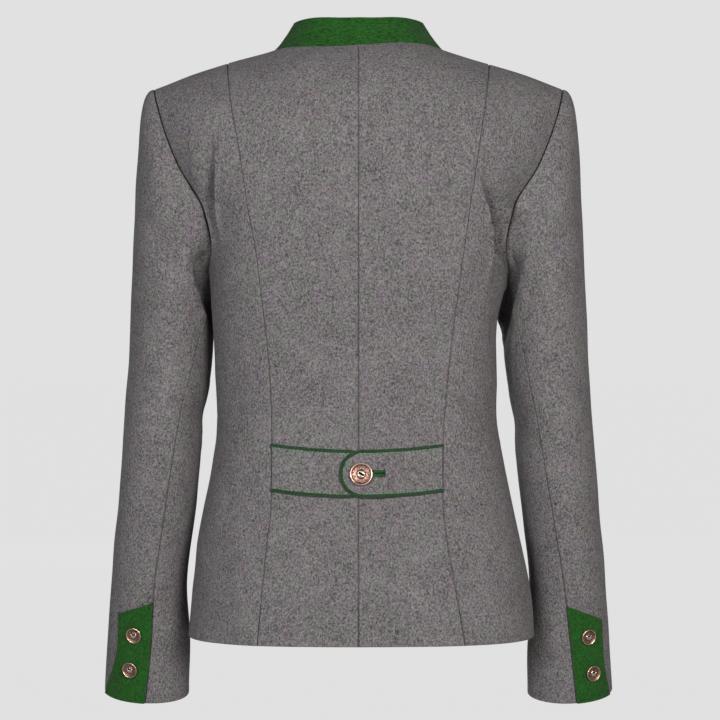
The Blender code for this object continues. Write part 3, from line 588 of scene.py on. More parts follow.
# Slow waves that keep the cloth from lying dead flat: length in metres, direction, phase and height.
WAVES = table(
    "length x y z phase height",
    (0.083, 0.9, 0.3, 0.5, 0.4, 0.00022),
    (0.061, -0.4, 0.5, 0.8, 2.1, 0.00020),
    (0.047, 0.7, -0.6, 0.3, 4.0, 0.00014),
    (0.109, 0.2, 0.2, 1.0, 1.3, 0.00026),
    (0.034, 0.6, 0.5, -0.7, 5.2, 0.00008),
)


def uneven(points):
    total = np.zeros(points.shape[:-1])
    for wave in WAVES:
        direction = unit(np.array([wave.x, wave.y, wave.z]))
        total += wave.height * np.sin(points @ direction * 2 * math.pi / wave.length + wave.phase)
    return total


def body_lift(points, face, side_name, proud, inside):
    """How far the body's cloth stands off its even surface.

    proud is 1 low down at the armhole's edge, where it covers the sleeve, and inside is 0 on that edge, where the
    folds end.
    """
    folds = pressed(BODY_FOLDS[face, side_name], points[..., [0, 2]])
    return uneven(mirrored(points, side_name)) - folds * inside + EDGE_COVER * proud


COLLAR_SLANT = 0.0019


def neck_slant(across):
    """The collar's seam runs a little low on the wearer's left and high on the right."""
    return -COLLAR_SLANT * np.sin(math.pi * np.clip(across / NECK_POINT, -1, 1))


def drawn_in(turn, side_name):
    """How the sleeve's edge is moved at each turn: forward on the back half of the armhole, back on the front half."""
    turn = np.mod(turn, 360)
    depth = np.maximum(along(DRAWN_IN, "turn", side_name, turn), 0)
    y = -depth * np.clip((180 - turn) / DRAWN_CROSSING, -1, 1)
    return np.stack([0 * y, y, 0 * y], axis=-1)


def armhole_edge(turn, side_name):
    """The body's lifted edge as seen from the sleeve: its shift from the even edge and its outward direction."""
    turn = np.mod(turn, 360)
    step = np.abs(180 - turn) / 180
    shift, outward = 0, 0
    for face, chosen in (("back", turn <= 180), ("front", turn > 180)):
        edge_turn, edge_rise = armhole(step, face)
        place = whole_turn(edge_turn, face), edge_rise
        normals = body_normal(*place)
        lift = body_lift(body_point(*place), face, side_name, within(COVERS, step), 0.0)
        shift = shift + normals * (lift * chosen)[..., None]
        outward = outward + normals * chosen[..., None]
    return shift, outward


# --- finishes ---


def linear(code):
    """An sRGB hex colour as linear red, green, blue and alpha."""
    parts = [int(code[i : i + 2], 16) / 255 for i in (1, 3, 5)]
    return [part / 12.92 if part <= 0.04045 else ((part + 0.055) / 1.055) ** 2.4 for part in parts] + [1.0]


def node(tree, kind, inputs=None, **settings):
    """Adds a node. An input is a value, or what is linked to it: a socket, or a node for its first output.

    Numbered inputs: a range has its value at 0, the ends it comes from at 1 and 2, and those it goes to at 3 and 4;
    a colour mix has its share at 0 and its colours at 6 and 7; a mapping turns by 2 and scales by 3.
    """
    made = tree.nodes.new("ShaderNode" + kind)
    for name, value in settings.items():
        setattr(made, name, value)
    for key, value in (inputs or {}).items():
        if isinstance(value, bpy.types.Node):
            value = value.outputs[0]
        if isinstance(value, bpy.types.NodeSocket):
            tree.links.new(value, made.inputs[key])
        else:
            made.inputs[key].default_value = value
    return made


def new_finish(name):
    made = bpy.data.materials.new(name)
    made.use_nodes = True
    made.node_tree.nodes.clear()
    return made, made.node_tree


def milled_loden(name, dark, light, tints, fleck, spread, slow, nap):
    """Loden: woven woollen cloth, milled until its fibres close over the weave, then brushed and shorn.

    The eye sees no threads, only fine flecks of the dyed fibres that were mixed before spinning, soft clouds of them,
    and a dull nap. fleck is the size of a fleck in millimetres, spread how far the flecks' tones part, slow how much
    the clouds add.
    """
    made, tree = new_finish(name)
    place = node(tree, "TexCoord").outputs["Object"]
    flecks = node(tree, "Mapping", {0: place, 3: [1 / (size * MM) for size in fleck]})
    # Real fibres are 0.03 mm thick; the finest octave here draws bundles of 0.25 mm, the finest that shows.
    wool = node(tree, "TexNoise", {"Vector": flecks, "Scale": 1.0, "Detail": 3.0, "Roughness": 0.75})
    cloud = node(tree, "TexNoise", {"Vector": flecks, "Scale": 0.22, "Detail": 2.0, "Roughness": 0.6})
    blotch = node(tree, "TexNoise", {"Vector": place, "Scale": 1 / (34 * MM), "Detail": 2.0, "Roughness": 0.5})
    # Stray pale hairs lie on the nap both ways.
    hairs = []
    for slant in (38, -31):
        sizes = (1 / (0.8 * MM), 1 / (0.8 * MM), 1 / (5.5 * MM))
        lie = node(tree, "Mapping", {0: place, 2: (0.0, math.radians(slant), 0.3), 3: sizes})
        hairs.append(node(tree, "TexNoise", {"Vector": lie, "Scale": 1.0, "Detail": 1.0, "Distortion": 0.5}))
    hair = node(tree, "Math", {0: hairs[0], 1: hairs[1]}, operation="MAXIMUM")
    hair = node(tree, "MapRange", {0: hair, 1: 0.62, 2: 0.82, 3: 0.0, 4: 0.22})
    soft = node(tree, "Math", {0: cloud, 1: blotch}, operation="ADD")
    soft = node(tree, "MapRange", {0: soft, 1: 0.6, 2: 1.4, 3: -slow, 4: slow})
    tone = node(tree, "MapRange", {0: wool, 1: 0.5 - spread, 2: 0.5 + spread})
    tone = node(tree, "Math", {0: tone, 1: soft}, operation="ADD")
    tone = node(tree, "Math", {0: tone, 1: hair}, operation="ADD", use_clamp=True)
    colour = node(tree, "Mix", {0: tone, 6: linear(dark), 7: linear(light)}, data_type="RGBA").outputs[2]
    # The dyed fibres gather here and there, so the grey or green leans to one tint or the other.
    lean = node(tree, "TexNoise", {"Vector": place, "Scale": 1 / (13 * MM), "Detail": 1.0, "Roughness": 0.5})
    lean = node(tree, "MapRange", {0: lean, 1: 0.32, 2: 0.68})
    tint = node(tree, "Mix", {0: lean, 6: linear(tints[0]), 7: linear(tints[1])}, data_type="RGBA").outputs[2]
    colour = node(tree, "Mix", {0: 1.0, 6: colour, 7: tint}, data_type="RGBA", blend_type="MULTIPLY").outputs[2]
    height = node(tree, "Math", {0: hair, 1: 1.5, 2: wool}, operation="MULTIPLY_ADD")
    bump = node(tree, "Bump", {"Height": height, "Strength": nap, "Distance": 0.0006})
    rough = node(tree, "MapRange", {0: wool, 1: 0.3, 2: 0.7, 3: 0.9, 4: 1.0})
    wool_cloth = node(tree, "BsdfPrincipled", {
        "Base Color": colour, "Roughness": rough, "Normal": bump, "IOR": 1.54, "Specular IOR Level": 0.12,
        "Sheen Weight": 0.05, "Sheen Roughness": 0.55,
    })
    node(tree, "OutputMaterial", {0: wool_cloth})
    return made


def antique_copper(name, dark, light, rough, patch):
    """Cast brass, copper plated, darkened and rubbed bright again: a warm mottled metal, dull in its hollows."""
    made, tree = new_finish(name)
    place = node(tree, "TexCoord").outputs["Object"]
    cloud = node(tree, "TexNoise", {"Vector": place, "Scale": 1 / (patch * MM), "Detail": 4.0, "Roughness": 0.65})
    tone = node(tree, "MapRange", {0: cloud, 1: 0.36, 2: 0.64})
    colour = node(tree, "Mix", {0: tone, 6: linear(dark), 7: linear(light)}, data_type="RGBA").outputs[2]
    dull = node(tree, "MapRange", {0: cloud, 1: 0.3, 2: 0.7, 3: rough + 0.12, 4: rough - 0.06})
    bump = node(tree, "Bump", {"Height": cloud, "Strength": 0.25, "Distance": 0.0002})
    metal = {"Base Color": colour, "Roughness": dull, "Metallic": 1.0, "Normal": bump}
    node(tree, "OutputMaterial", {0: node(tree, "BsdfPrincipled", metal)})
    return made


def wool_cord(name, dark, light, pitch):
    """Bias cut wool binding, folded over a cord: fine slanting ribs across its round."""
    made, tree = new_finish(name)
    place = node(tree, "TexCoord").outputs["Object"]
    # Slantwise, a wave pattern of scale 1 repeats every 0.36 m, so that 6.3 makes a rib about one pitch wide.
    waves = {"Vector": place, "Scale": 1 / (pitch * MM) / 6.3, "Distortion": 5.0, "Detail": 3.0, "Detail Scale": 3.0}
    ribs = node(tree, "TexWave", waves, bands_direction="DIAGONAL").outputs[1]
    cloud = node(tree, "TexNoise", {"Vector": place, "Scale": 1 / (1.6 * MM), "Detail": 2.0})
    tone = node(tree, "Math", {0: ribs, 1: cloud}, operation="MULTIPLY")
    tone = node(tree, "MapRange", {0: tone, 1: 0.05, 2: 0.55})
    colour = node(tree, "Mix", {0: tone, 6: linear(dark), 7: linear(light)}, data_type="RGBA").outputs[2]
    bump = node(tree, "Bump", {"Height": tone, "Strength": 0.4, "Distance": 0.0002})
    cord_cloth = node(tree, "BsdfPrincipled", {
        "Base Color": colour, "Roughness": 0.85, "Normal": bump, "IOR": 1.54, "Specular IOR Level": 0.3,
        "Sheen Weight": 0.2, "Sheen Roughness": 0.5,
    })
    node(tree, "OutputMaterial", {0: cord_cloth})
    return made


GREY_TINTS, GREEN_TINTS = ("#fff7fd", "#fbfff7"), ("#fff6e8", "#f4fffa")
grey_loden = milled_loden("grey_loden", "#2c2a2b", "#868283", GREY_TINTS, (1.7, 1.7, 2.1), 0.192, 0.10, 0.45)
green_loden = milled_loden("green_loden", "#11300e", "#265a21", GREEN_TINTS, (3.6, 3.6, 1.1), 0.125, 0.09, 0.4)
green_inset_loden = milled_loden(
    "green_inset_loden", "#102e0d", "#275d22", GREEN_TINTS, (1.4, 1.4, 3.2), 0.20, 0.10, 0.4
)
green_binding = milled_loden("green_binding", "#0c2010", "#3a6440", GREEN_TINTS, (1.6, 1.6, 1.0), 0.30, 0.2, 0.5)
# Near-black cloth for the buttonholes' slits: painted shade where the slit lies in shadow.
slit_painted_shade = milled_loden("slit_painted_shade", "#050906", "#0e1a10", GREEN_TINTS, (1.6, 1.6, 1.0), 0.30, 0.2, 0.3)
green_piping = wool_cord("green_piping", "#0c1f10", "#284a2b", 0.8)
sage_thread = wool_cord("sage_thread", "#37563a", "#769c72", 0.9)
copper = antique_copper("antique_copper", "#3e271f", "#b08b7d", 0.42, 1.5)
# The buttons' rim: partly real copper rubbed bright, partly painted highlight, as its pale colour stands in for light
# glancing off it.
rim_rubbed_and_highlight = antique_copper("rim_rubbed_and_highlight", "#b98c78", "#ecd0bb", 0.28, 3.0)
# The buttons' boss: partly pale metal, partly painted highlight, as its cream colour stands in for the shine on its
# dome.
pale_boss_and_highlight = antique_copper("pale_boss_and_highlight", "#b7a78c", "#f0e6d0", 0.25, 3.0)
# Near-black metal inside the buttons' slots: painted shade where the slot lies in shadow.
slot_painted_shade = antique_copper("slot_painted_shade", "#0a0705", "#1c130e", 0.7, 2.0)

# --- making cloth ---

# Distances in millimetres from an edge to the rows of a grid that lie close to it.
SEAM_ROWS = (0, 0.3, 0.6, 0.95, 1.5, 2.6, 4.2)
FREE_ROWS = (0, 0.15, 0.35, 0.65, 1.0, 1.6, 2.6)
TRIM_ROWS = (0, 0.15, 0.35, 0.65, 1.1, 2.0)
CORNER_ROWS = (0, 0.8, 2.0)
HEAD_ROWS = (0, 3.0)
PITCH = 0.0030


def steps_between(length, pitch, first, last=None):
    """Shares from 0 to 1 of a length in metres, close at both ends and even between."""
    near = [d * MM for d in first]
    far = [length - d * MM for d in reversed(last or first)]
    count = max(int(round((far[0] - near[-1]) / pitch)), 1)
    between = [mix(near[-1], far[0], i / count) for i in range(1, count)]
    return np.array(near + between + far) / length


def reaches(points):
    """Distance of each point from the left, right, bottom and top edge of its grid, along the cloth."""
    across = np.linalg.norm(np.diff(points, axis=1), axis=-1)
    up = np.linalg.norm(np.diff(points, axis=0), axis=-1)
    left = np.concatenate([np.zeros((len(points), 1)), np.cumsum(across, axis=1)], axis=1)
    bottom = np.concatenate([np.zeros((1, points.shape[1])), np.cumsum(up, axis=0)], axis=0)
    return {"left": left, "right": left[:, -1:] - left, "bottom": bottom, "top": bottom[-1:] - bottom}


SEAM_SWELL = Span(0.0008, 0.0018, 0.008, 0.004)


def seam_dip(distance, depth=0.0023, half=0.0009, swell=0.00030):
    """A pressed-open seam: the stitching pulls the edge in, and the allowances beneath lift the cloth beside it."""
    return depth * np.clip(1 - distance / half, 0, 1) ** 1.1 - swell * within(SEAM_SWELL, distance)


def armhole_dip(distance, low):
    """The armhole's seam. low is 1 where it runs under the arm, deeper and wider."""
    return seam_dip(distance, mix(0.0019, 0.0024, low), mix(0.0009, 0.0014, low), 0.0)


def edge_roll(distance, half):
    """The rounding of a free edge: both faces meet at the middle of the wall."""
    short = np.clip(half - distance, 0, half)
    return half - np.sqrt(np.maximum(half**2 - short**2, 0))


def turned_up(distance, allowance):
    """Extra thickness of a turned-up hem."""
    return 0.0011 * within(Span(0, 0.0015, allowance, 0.0012), distance)


def place_piece(name, data, solid=None):
    """A piece of the jacket, which may stand for a solid."""
    piece = placed(name, data)
    if solid:
        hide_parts(solid)
    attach(piece, "root")
    return piece


def cloth(name, finish, points, normals, dip, wall, solid=None):
    """A closed cloth wall. The outer face dips below the points, and the inner face lies a wall's depth under them."""
    rows, columns = points.shape[:2]
    outer = points - normals * dip[..., None]
    inner = points - normals * wall[..., None]
    index = np.arange(rows * columns).reshape(rows, columns)
    a, b, c, d = index[:-1, :-1], index[:-1, 1:], index[1:, 1:], index[1:, :-1]
    face = np.stack([a, b, c, d], axis=-1).reshape(-1, 4)
    under = rows * columns
    ring = np.concatenate([index[0, :-1], index[:-1, -1], index[-1, :0:-1], index[:0:-1, 0]])
    after = np.roll(ring, -1)
    rim = np.stack([after, ring, ring + under, after + under], axis=-1)
    faces = np.concatenate([face, face[:, ::-1] + under, rim])
    middle, corner = outer[rows // 2, columns // 2], outer[rows // 2 + 1, columns // 2]
    side = np.cross(outer[rows // 2, columns // 2 + 1] - middle, corner - middle)
    if side @ normals[rows // 2, columns // 2] < 0:
        faces = faces[:, ::-1]
    mesh = bpy.data.meshes.new(name)
    mesh.from_pydata(np.concatenate([outer, inner]).reshape(-1, 3).tolist(), [], faces.tolist())
    mesh.shade_smooth()
    mesh.materials.append(finish)
    piece = place_piece(name, mesh, solid)
    return piece


# --- the body's panels ---

BODY_LENGTH = 0.655  # along the cloth, from the hem over the shoulder
PANEL_WIDTH = {"centre": 0.092, "side": 0.095}
BODY_HEM, SLEEVE_HEM = 0.035, 0.030  # how far the hems are turned up
UNDERARM_RISE, UNDERARM_EASE = 0.589, 0.02
# The rise where a centre panel's inner edge turns into the neck edge, and where the neck edge starts.
NECK_CORNER = {"back": 0.73696, "front": 0.66298}
NECK_START = {"back": 0.0, "front": -10.2}
# Near the armhole's edge, the folds end, the cloth stands over the sleeve, and the last of it turns in.
FOLDS_END, COVER_WIDTH, TURNED_EDGE = 0.010, 0.014, 0.0013
# Where the lap's lift, the sway of the sides and the slant of the neck fade, and over what distance.
LAP_END, LAP_EASE = 0.046, 0.026
SWAY_START, SWAY_EASE = 0.085, 0.06
SLANT_START, SLANT_EASE = -0.030, 0.026
SEAM_CLOSES, CORNER_KEPT = 0.0045, 0.005  # how far below the top the long seams close, and round the centre seam's top


def body_rises(face):
    """Rows from the hem to the shoulder, close at the hem, the underarm and neck corners and the shoulder seam."""
    stops = [0, UNDERARM_RISE, NECK_CORNER[face], 1]
    rises = []
    for low, high in zip(stops, stops[1:]):
        first = FREE_ROWS if low == 0 else CORNER_ROWS
        last = SEAM_ROWS[:-1] if high == 1 else CORNER_ROWS
        shares = steps_between((high - low) * BODY_LENGTH, PITCH, first, last)
        rises += [mix(low, high, share) for share in shares[: None if high == 1 else -1]]
    return np.array(rises)


def armhole_step(rises):
    """How far up the armhole a rise is, less than 0 below it."""
    return (rises - UNDERARM_RISE) / (1 - UNDERARM_RISE)


def side_edge(rises, face):
    """(turn, rise) of the side seam, and above it of the armhole."""
    height = HEM + rises / UNDERARM_RISE * (UNDERARM - HEM)
    turn, rise = armhole(np.clip(armhole_step(rises), 0, 1), face)
    below = rises < UNDERARM_RISE
    at = 90.0 if face == "back" else 90.001
    return np.where(below, 90.0, turn), np.where(below, rise_of(at, height), rise)


def centre_edge(rises, face):
    """(turn, rise) of the centre edge, and above it of the neck edge."""
    corner = NECK_CORNER[face]
    share = np.clip((rises - corner) / (1 - corner), 0, 1)
    neck_turn, neck_rise = neck_place(mix(NECK_START[face], 90, share), face)
    start = float(neck_place(NECK_START[face], face)[1])
    level = 0.3 if face == "back" else 0.0
    rise = np.where(rises > level, mix(level, start, (rises - level) / (corner - level)), rises)
    turn = 0.0 * rises if face == "back" else -turn_at(LAP, body_point(180.0 + 0 * rises, rise)[:, 2])
    above = rises >= corner
    return np.where(above, neck_turn, turn), np.where(above, neck_rise, rise)


def body_panel(part, side_name, face):
    """part "centre" runs from the centre to the princess seam, "side" from there to the side seam and armhole."""
    rises = body_rises(face)
    seam = princess_turn(side_name if face == "back" else "front", rises, face), rises
    inner, outer = (centre_edge(rises, face), seam) if part == "centre" else (seam, side_edge(rises, face))
    free = (part, face) == ("centre", "front")
    pitch = 0.0017 if (part, face) == ("side", "back") else PITCH
    shares = steps_between(PANEL_WIDTH[part], pitch, FREE_ROWS if free else SEAM_ROWS, SEAM_ROWS)
    turn, rise = (mix(start[:, None], end[:, None], shares) for start, end in zip(inner, outer))
    turn = whole_turn(turn, face)
    points, normals = body_point(turn, rise), body_normal(turn, rise)
    step = armhole_step(rises)[:, None]
    low = within(COVERS, step) * (part == "side")
    from_edge = reaches(points)["right"]
    at_armhole = (part == "side") * smooth((rises - UNDERARM_RISE) / UNDERARM_EASE + 1)[:, None]
    inside = 1 - at_armhole * (1 - smooth(from_edge / FOLDS_END))
    lift = body_lift(points, face, side_name, low * (1 - smooth(from_edge / COVER_WIDTH)), inside)
    if free and side_name == "right":
        lift = lift + LAP_LIFT * smooth((LAP_END - points[..., 0]) / LAP_EASE)
    points = mirrored(points + normals * lift[..., None], side_name)
    normals = mirrored(normals, side_name)
    sway = along(BODY, "height", "sway", points[..., 2])
    points[..., 0] += sway * smooth((np.abs(points[..., 0]) - SWAY_START) / SWAY_EASE)
    if face == "back":
        points[..., 2] += neck_slant(points[..., 0]) * smooth((points[..., 2] - SLANT_START) / SLANT_EASE)
    reach = reaches(points)
    roll = edge_roll(reach["bottom"], WALL / 2)
    # The long seams close again just under the neck and shoulder seams.
    below = smooth(reach["top"] / SEAM_CLOSES)
    dip = np.maximum(seam_dip(reach["right"]) * below, seam_dip(reach["top"]))
    if free:
        above = (rises >= NECK_CORNER[face])[:, None]
        dip = np.maximum(dip, np.where(above, seam_dip(reach["left"]), -1.0))
        roll = np.maximum(roll, np.where(above, 0, edge_roll(reach["left"], WALL / 2)))
    else:
        # The corner at the top of the centre seam is not turned in, so no light comes through under the collar.
        corner = points[np.searchsorted(rises, NECK_CORNER[face] - 1e-6), 0]
        kept = smooth(np.linalg.norm(points - corner, axis=-1) / CORNER_KEPT) if part == "centre" else 1.0
        dip = np.maximum(dip, seam_dip(reach["left"]) * below * kept)
    if part == "side":
        above = step > 0
        step = np.clip(step, 0, 1)
        turned = np.clip(1 - reach["right"] / TURNED_EDGE, 0, 1) * above
        edge = drawn_in(180 * (1 - step) if face == "back" else 180 * (1 + step), side_name)
        points = points + edge * turned[..., None]
        dip = np.maximum(dip, np.where(above, armhole_dip(reach["right"], low), -1.0))
    wall = WALL - roll + turned_up(reach["bottom"], BODY_HEM)
    solid = f"{face}_{part}_{side_name}"
    cloth(solid + "_cloth", grey_loden, points, normals, np.maximum(dip, roll), wall, solid)


# --- sleeves ---

HEAD_LENGTH, ARM_LENGTH = 0.190, 0.442
SLEEVE_WIDTH = {"upper": 0.255, "under": 0.085}
SLEEVE_PITCH = {"upper": 0.0022, "under": 0.0018}
# Turns: where the sleeve lies behind the body's edge, and where the edges of both meet in front.
DRAWN_BACK = Span(84, 40, 232, 50)
MEETS = Span(178, 16, 322, 30)
FRONT_SHARE = 0.6  # how much of both is left in front
FOLDS_START = 0.016  # how far from the armhole the sleeve's folds are whole
EDGE_FOLLOWED = (0.14, 0.035)  # up to which ring number the sleeve follows the body's edge: high up, and low down


def sleeve_panel(part, side_name):
    head = steps_between(HEAD_LENGTH, 0.0032, SEAM_ROWS, HEAD_ROWS)
    arm = steps_between(ARM_LENGTH, PITCH, HEAD_ROWS, FREE_ROWS)
    heights = column(SLEEVE, "height")
    numbers = np.interp(-mix(heights[0], heights[-1], arm), -heights, column(SLEEVE, "number"))
    numbers = np.concatenate([head[:-1], numbers])
    back, front = sleeve_turns(side_name, numbers)
    shares = steps_between(SLEEVE_WIDTH[part], SLEEVE_PITCH[part], SEAM_ROWS)
    turn = mix(back[:, None], front[:, None] - (360 if part == "upper" else 0), shares)
    turn, number = together(turn, numbers[:, None])
    points, normals = sleeve_point(turn, number), sleeve_normal(turn, number)
    round_arm = np.mod(turn, 360)
    folds = pressed(SLEEVE_FOLDS[side_name], np.stack([round_arm * TURN_WIDTH, points[..., 2]], axis=-1), TURN_WIDTH)
    # Low down the armhole, the sleeve draws back under the body, deepest behind.
    low = within(DRAWN_BACK, round_arm) * np.where(round_arm > 180, FRONT_SHARE, 1)
    drawn = reaches(points)["bottom"]
    lift = uneven(mirrored(points, side_name)) - folds * mix(1.0, smooth(drawn / FOLDS_START), low)
    inward = drawn_in(turn, side_name) * (1 - smooth(drawn / DRAWN_WIDTH))[..., None]
    away = smooth(number / mix(*EDGE_FOLLOWED, low))[..., None]
    shift, outward = armhole_edge(turn[0], side_name)
    points = mirrored(points + inward + mix(shift, normals * lift[..., None], away), side_name)
    # At the front, both edges of the seam turn in the same way, so that they meet; behind, a dark slit stays between.
    meet = within(MEETS, round_arm) * mix(1.0, FRONT_SHARE, smooth((round_arm - 222) / 25))
    normals = mirrored(unit(mix(normals, outward, meet[..., None] * (1 - away))), side_name)
    reach = reaches(points)
    roll = edge_roll(reach["top"], WALL / 2)
    seams = seam_dip(reach["left"]), seam_dip(reach["right"]), armhole_dip(reach["bottom"], low)
    wall = WALL - roll + turned_up(reach["top"], SLEEVE_HEM)
    solid = f"sleeve_{part}_{side_name}"
    cloth(solid + "_cloth", grey_loden, points, normals, np.maximum.reduce([*seams, roll]), wall, solid)


INSET_LENGTH, INSET_WIDTH, INSET_WALL = 0.090, 0.045, 0.0016
INSET_OVERLAP = 0.6  # degrees past the sleeve's back seam
STITCH_LINE, STITCH_DEPTH, STITCH_HALF = 0.0022, 0.00018, 0.0006


def cuff_inset(side_name):
    rows = steps_between(INSET_LENGTH, 0.0025, TRIM_ROWS)
    columns = steps_between(INSET_WIDTH, 0.0020, TRIM_ROWS)
    number = mix(mix(*INSET_TOP[side_name], columns), 10.0, rows[:, None])
    back = sleeve_turns(side_name, number)[0] - INSET_OVERLAP
    turn = mix(back, along(INSET, "ring", side_name, number), columns)
    points, normals = sleeve_point(turn, number), sleeve_normal(turn, number)
    points = mirrored(points + normals * (INSET_LIFT + uneven(mirrored(points, side_name)))[..., None], side_name)
    nearest = np.minimum.reduce(list(reaches(points).values()))
    roll = edge_roll(nearest, INSET_WALL / 2)
    stitched = STITCH_DEPTH * np.exp(-(((nearest - STITCH_LINE) / STITCH_HALF) ** 2))
    normals, solid = mirrored(normals, side_name), f"cuff_inset_{side_name}"
    cloth(solid + "_cloth", green_inset_loden, points, normals, roll + stitched, INSET_WALL - roll, solid)


# --- collar ---

# Rows of points from the collar's base, 0, to its top edge, 1.
COLLAR_LOW, COLLAR_HIGH = (0, 0.02, 0.05, 0.09, 0.14), (0.966, 0.978, 0.988, 0.995, 1.0)
COLLAR_LEVELS = np.concatenate([COLLAR_LOW, np.arange(0.19, 0.955, 0.0182), COLLAR_HIGH])
COLLAR_FRONT_GAP = 0.0015  # from the centre to the collar's front edge
LEAN_BACK, LEAN_SIDE, LEAN_FRONT = 0.009, 0.020, 0.006  # how far in its top edge leans
# Topstitching: how many rows, how far the first is from the top edge and each next one from the last, how wide a row
# is, and how long a stitch.
STITCH_ROWS, FIRST_ROW, ROW_APART, ROW_WIDTH, STITCH = 6, 0.0022, 0.0024, 0.00050, 0.0026
PULL, PULL_MORE = 0.00052, 0.00020


def collar():
    front_edge = math.degrees(math.asin(COLLAR_FRONT_GAP / NECK_POINT))
    half = []
    for face, angles in (("back", np.linspace(0, 90, 56)), ("front", np.linspace(90, front_edge, 64)[1:])):
        turn, rise = neck_place(angles, face)
        half.append(body_point(whole_turn(turn, face), rise))
    half = np.concatenate(half)
    base = np.concatenate([mirrored(half[:0:-1], "right"), half])
    levels = COLLAR_LEVELS[:, None]
    inward = unit(np.stack([-base[:, 0], -0.005 - base[:, 1], 0 * base[:, 0]], axis=-1))
    lean = mix(np.where(base[:, 1] > 0, LEAN_BACK, LEAN_FRONT), LEAN_SIDE, (base[:, 0] / NECK_POINT) ** 2)
    points = base + inward * (lean * levels**0.8)[..., None]
    points[..., 2] += COLLAR_HEIGHT * levels + 2 * SEAM_GAP
    away = points * np.array([1, 1, 0]) + np.array([0, 0.005, 0])
    normals = facing(unit(np.cross(np.gradient(points, axis=1), np.gradient(points, axis=0))), away)
    points = points + normals * (0.6 * uneven(points))[..., None]
    points[..., 2] += neck_slant(points[..., 0]) * (1 - smooth(levels / 0.5)) * (base[:, 1] > 0)
    reach = reaches(points)
    roll = edge_roll(np.minimum.reduce([reach[edge] for edge in ("left", "right", "top")]), WALL / 2)
    # Rows of topstitching under the top edge, each stitch pulling the felt in a little more at its ends.
    stitched = 0.0
    for i in range(STITCH_ROWS):
        pull = PULL + PULL_MORE * np.cos(reach["left"] / STITCH * 2 * math.pi + i)
        pull = pull * (0.8 + 0.4 * np.sin(reach["left"] * (61 + 9 * i) + 2 * i))
        stitched = stitched + pull * np.exp(-(((reach["top"] - FIRST_ROW - i * ROW_APART) / ROW_WIDTH) ** 2))
    dip = np.maximum(roll + stitched, seam_dip(reach["bottom"], 0.0012, 0.0014, 0.0))
    cloth("collar_cloth", green_loden, points, normals, dip, WALL - roll, "collar")


# --- the half belt, on the back panels ---


def place_on(face, across, height):
    """The point and normal of the body's even surface."""
    across, height = together(across, height)
    turn = whole_turn(turn_at(across, height), face)
    rise = rise_of(turn, height)
    return body_point(turn, rise), body_normal(turn, rise)


def belt_line(across, share):
    """The height of the belt: share is 0 at its middle, 1 and -1 at its edges."""
    return BELT_MIDDLE - BELT_SAG * (1 - np.minimum((across / BELT_REACH) ** 2, 1)) + BELT_HALF * share


def belt_start(side_name):
    """How far across a tab starts, at the princess seam."""
    return float(along(PRINCESS, "height", side_name, BELT_MIDDLE)) * SIDES[side_name]


def lap_height(across, side_name):
    """How far a tab's inner face lies over the back: the right tab laps over the left one."""
    over = smooth((across - CLIMB_START) / CLIMB) * (BELT_WALL + SEAM_GAP) if side_name == "right" else 0 * across
    return SEAM_GAP + over


def belt_tab(side_name):
    start, end = belt_start(side_name), LEFT_TAB_END if side_name == "left" else ROUND_END
    stops = mix(start, end, steps_between(0.08, 0.0022, (0, 0.35, 0.8, 1.4, 2.2), (0, 0.2, 0.5, 1.0, 2.0)))
    narrow = np.ones(len(stops))
    if side_name == "right":
        bend = np.radians(np.concatenate([np.arange(4, 80, 4), np.arange(80, 89.9, 1.2)]))
        stops = np.concatenate([stops, ROUND_END + BELT_HALF * np.sin(bend)])
        narrow = np.concatenate([narrow, np.cos(bend)])
    shares = mix(-1, 1, steps_between(2 * BELT_HALF, 0.0018, TRIM_ROWS))[:, None]
    across, height = together(stops, belt_line(stops, shares * narrow))
    points, normals = place_on("back", across, height)
    points = points + normals * (uneven(points) + lap_height(across, side_name) + BELT_WALL)[..., None]
    beyond = np.maximum(across - ROUND_END, 0) if side_name == "right" else 0
    nearest = BELT_HALF - np.hypot(beyond, BELT_HALF * np.abs(shares) * narrow)
    if side_name == "left":
        nearest = np.minimum(nearest, across - LEFT_TAB_END)
    roll = edge_roll(np.maximum(nearest, 0), BELT_WALL / 2)
    # Its start is caught in the princess seam.
    dip = np.maximum(roll, 0.0024 * np.clip(1 - np.abs(across - start) / 0.0012, 0, 1))
    wall = np.maximum(BELT_WALL - roll, dip + 0.0002)
    solid, backs = f"belt_tab_{side_name}", ["back_centre_left_cloth", "back_centre_right_cloth"]
    cloth(solid + "_cloth", grey_loden, points, normals, dip, wall, solid)


def cord(name, path, lifts, radius, finish, solid=None, swell=0.0, taper=1.0):
    """A round cord laid on the back: path = (across, height), lifts = height of its middle over the cloth."""
    line = bpy.data.curves.new(name, "CURVE")
    line.dimensions = "3D"
    line.bevel_depth = radius
    line.bevel_resolution = 5
    line.use_fill_caps = True
    spline = line.splines.new("POLY")
    spline.points.add(len(path) - 1)
    points, normals = place_on("back", path[:, 0], path[:, 1])
    places = points + normals * (uneven(points) + lifts)[:, None]
    spline.points.foreach_set("co", np.concatenate([places, np.ones((len(places), 1))], axis=1).ravel())
    at = np.arange(len(places))
    uneven_radius = 1 + swell * (np.sin(at * 0.41 + len(name)) + 0.6 * np.sin(at * 1.13 + 1.7))
    spline.points.foreach_set("radius", uneven_radius * taper)
    line.materials.append(finish)
    place_piece(name, line, solid)


def belt_path(side_name, away, start):
    """The lines along a tab's edges, this far from the belt's middle line; the right one goes round the tab's end."""
    share = away / BELT_HALF
    if side_name == "left":
        stops = np.linspace(start, TUCKED_PIPING_END, 55)
        return [np.stack([stops, belt_line(stops, edge * share)], axis=-1) for edge in (1, -1)]
    bend = np.radians(np.arange(4, 177, 4))
    stops = np.linspace(start, ROUND_END, 45)
    across = np.concatenate([stops, ROUND_END + away * np.sin(bend), stops[::-1]])
    edge = np.concatenate([0 * stops + share, share * np.cos(bend), 0 * stops - share])
    return [np.stack([across, belt_line(across, edge)], axis=-1)]


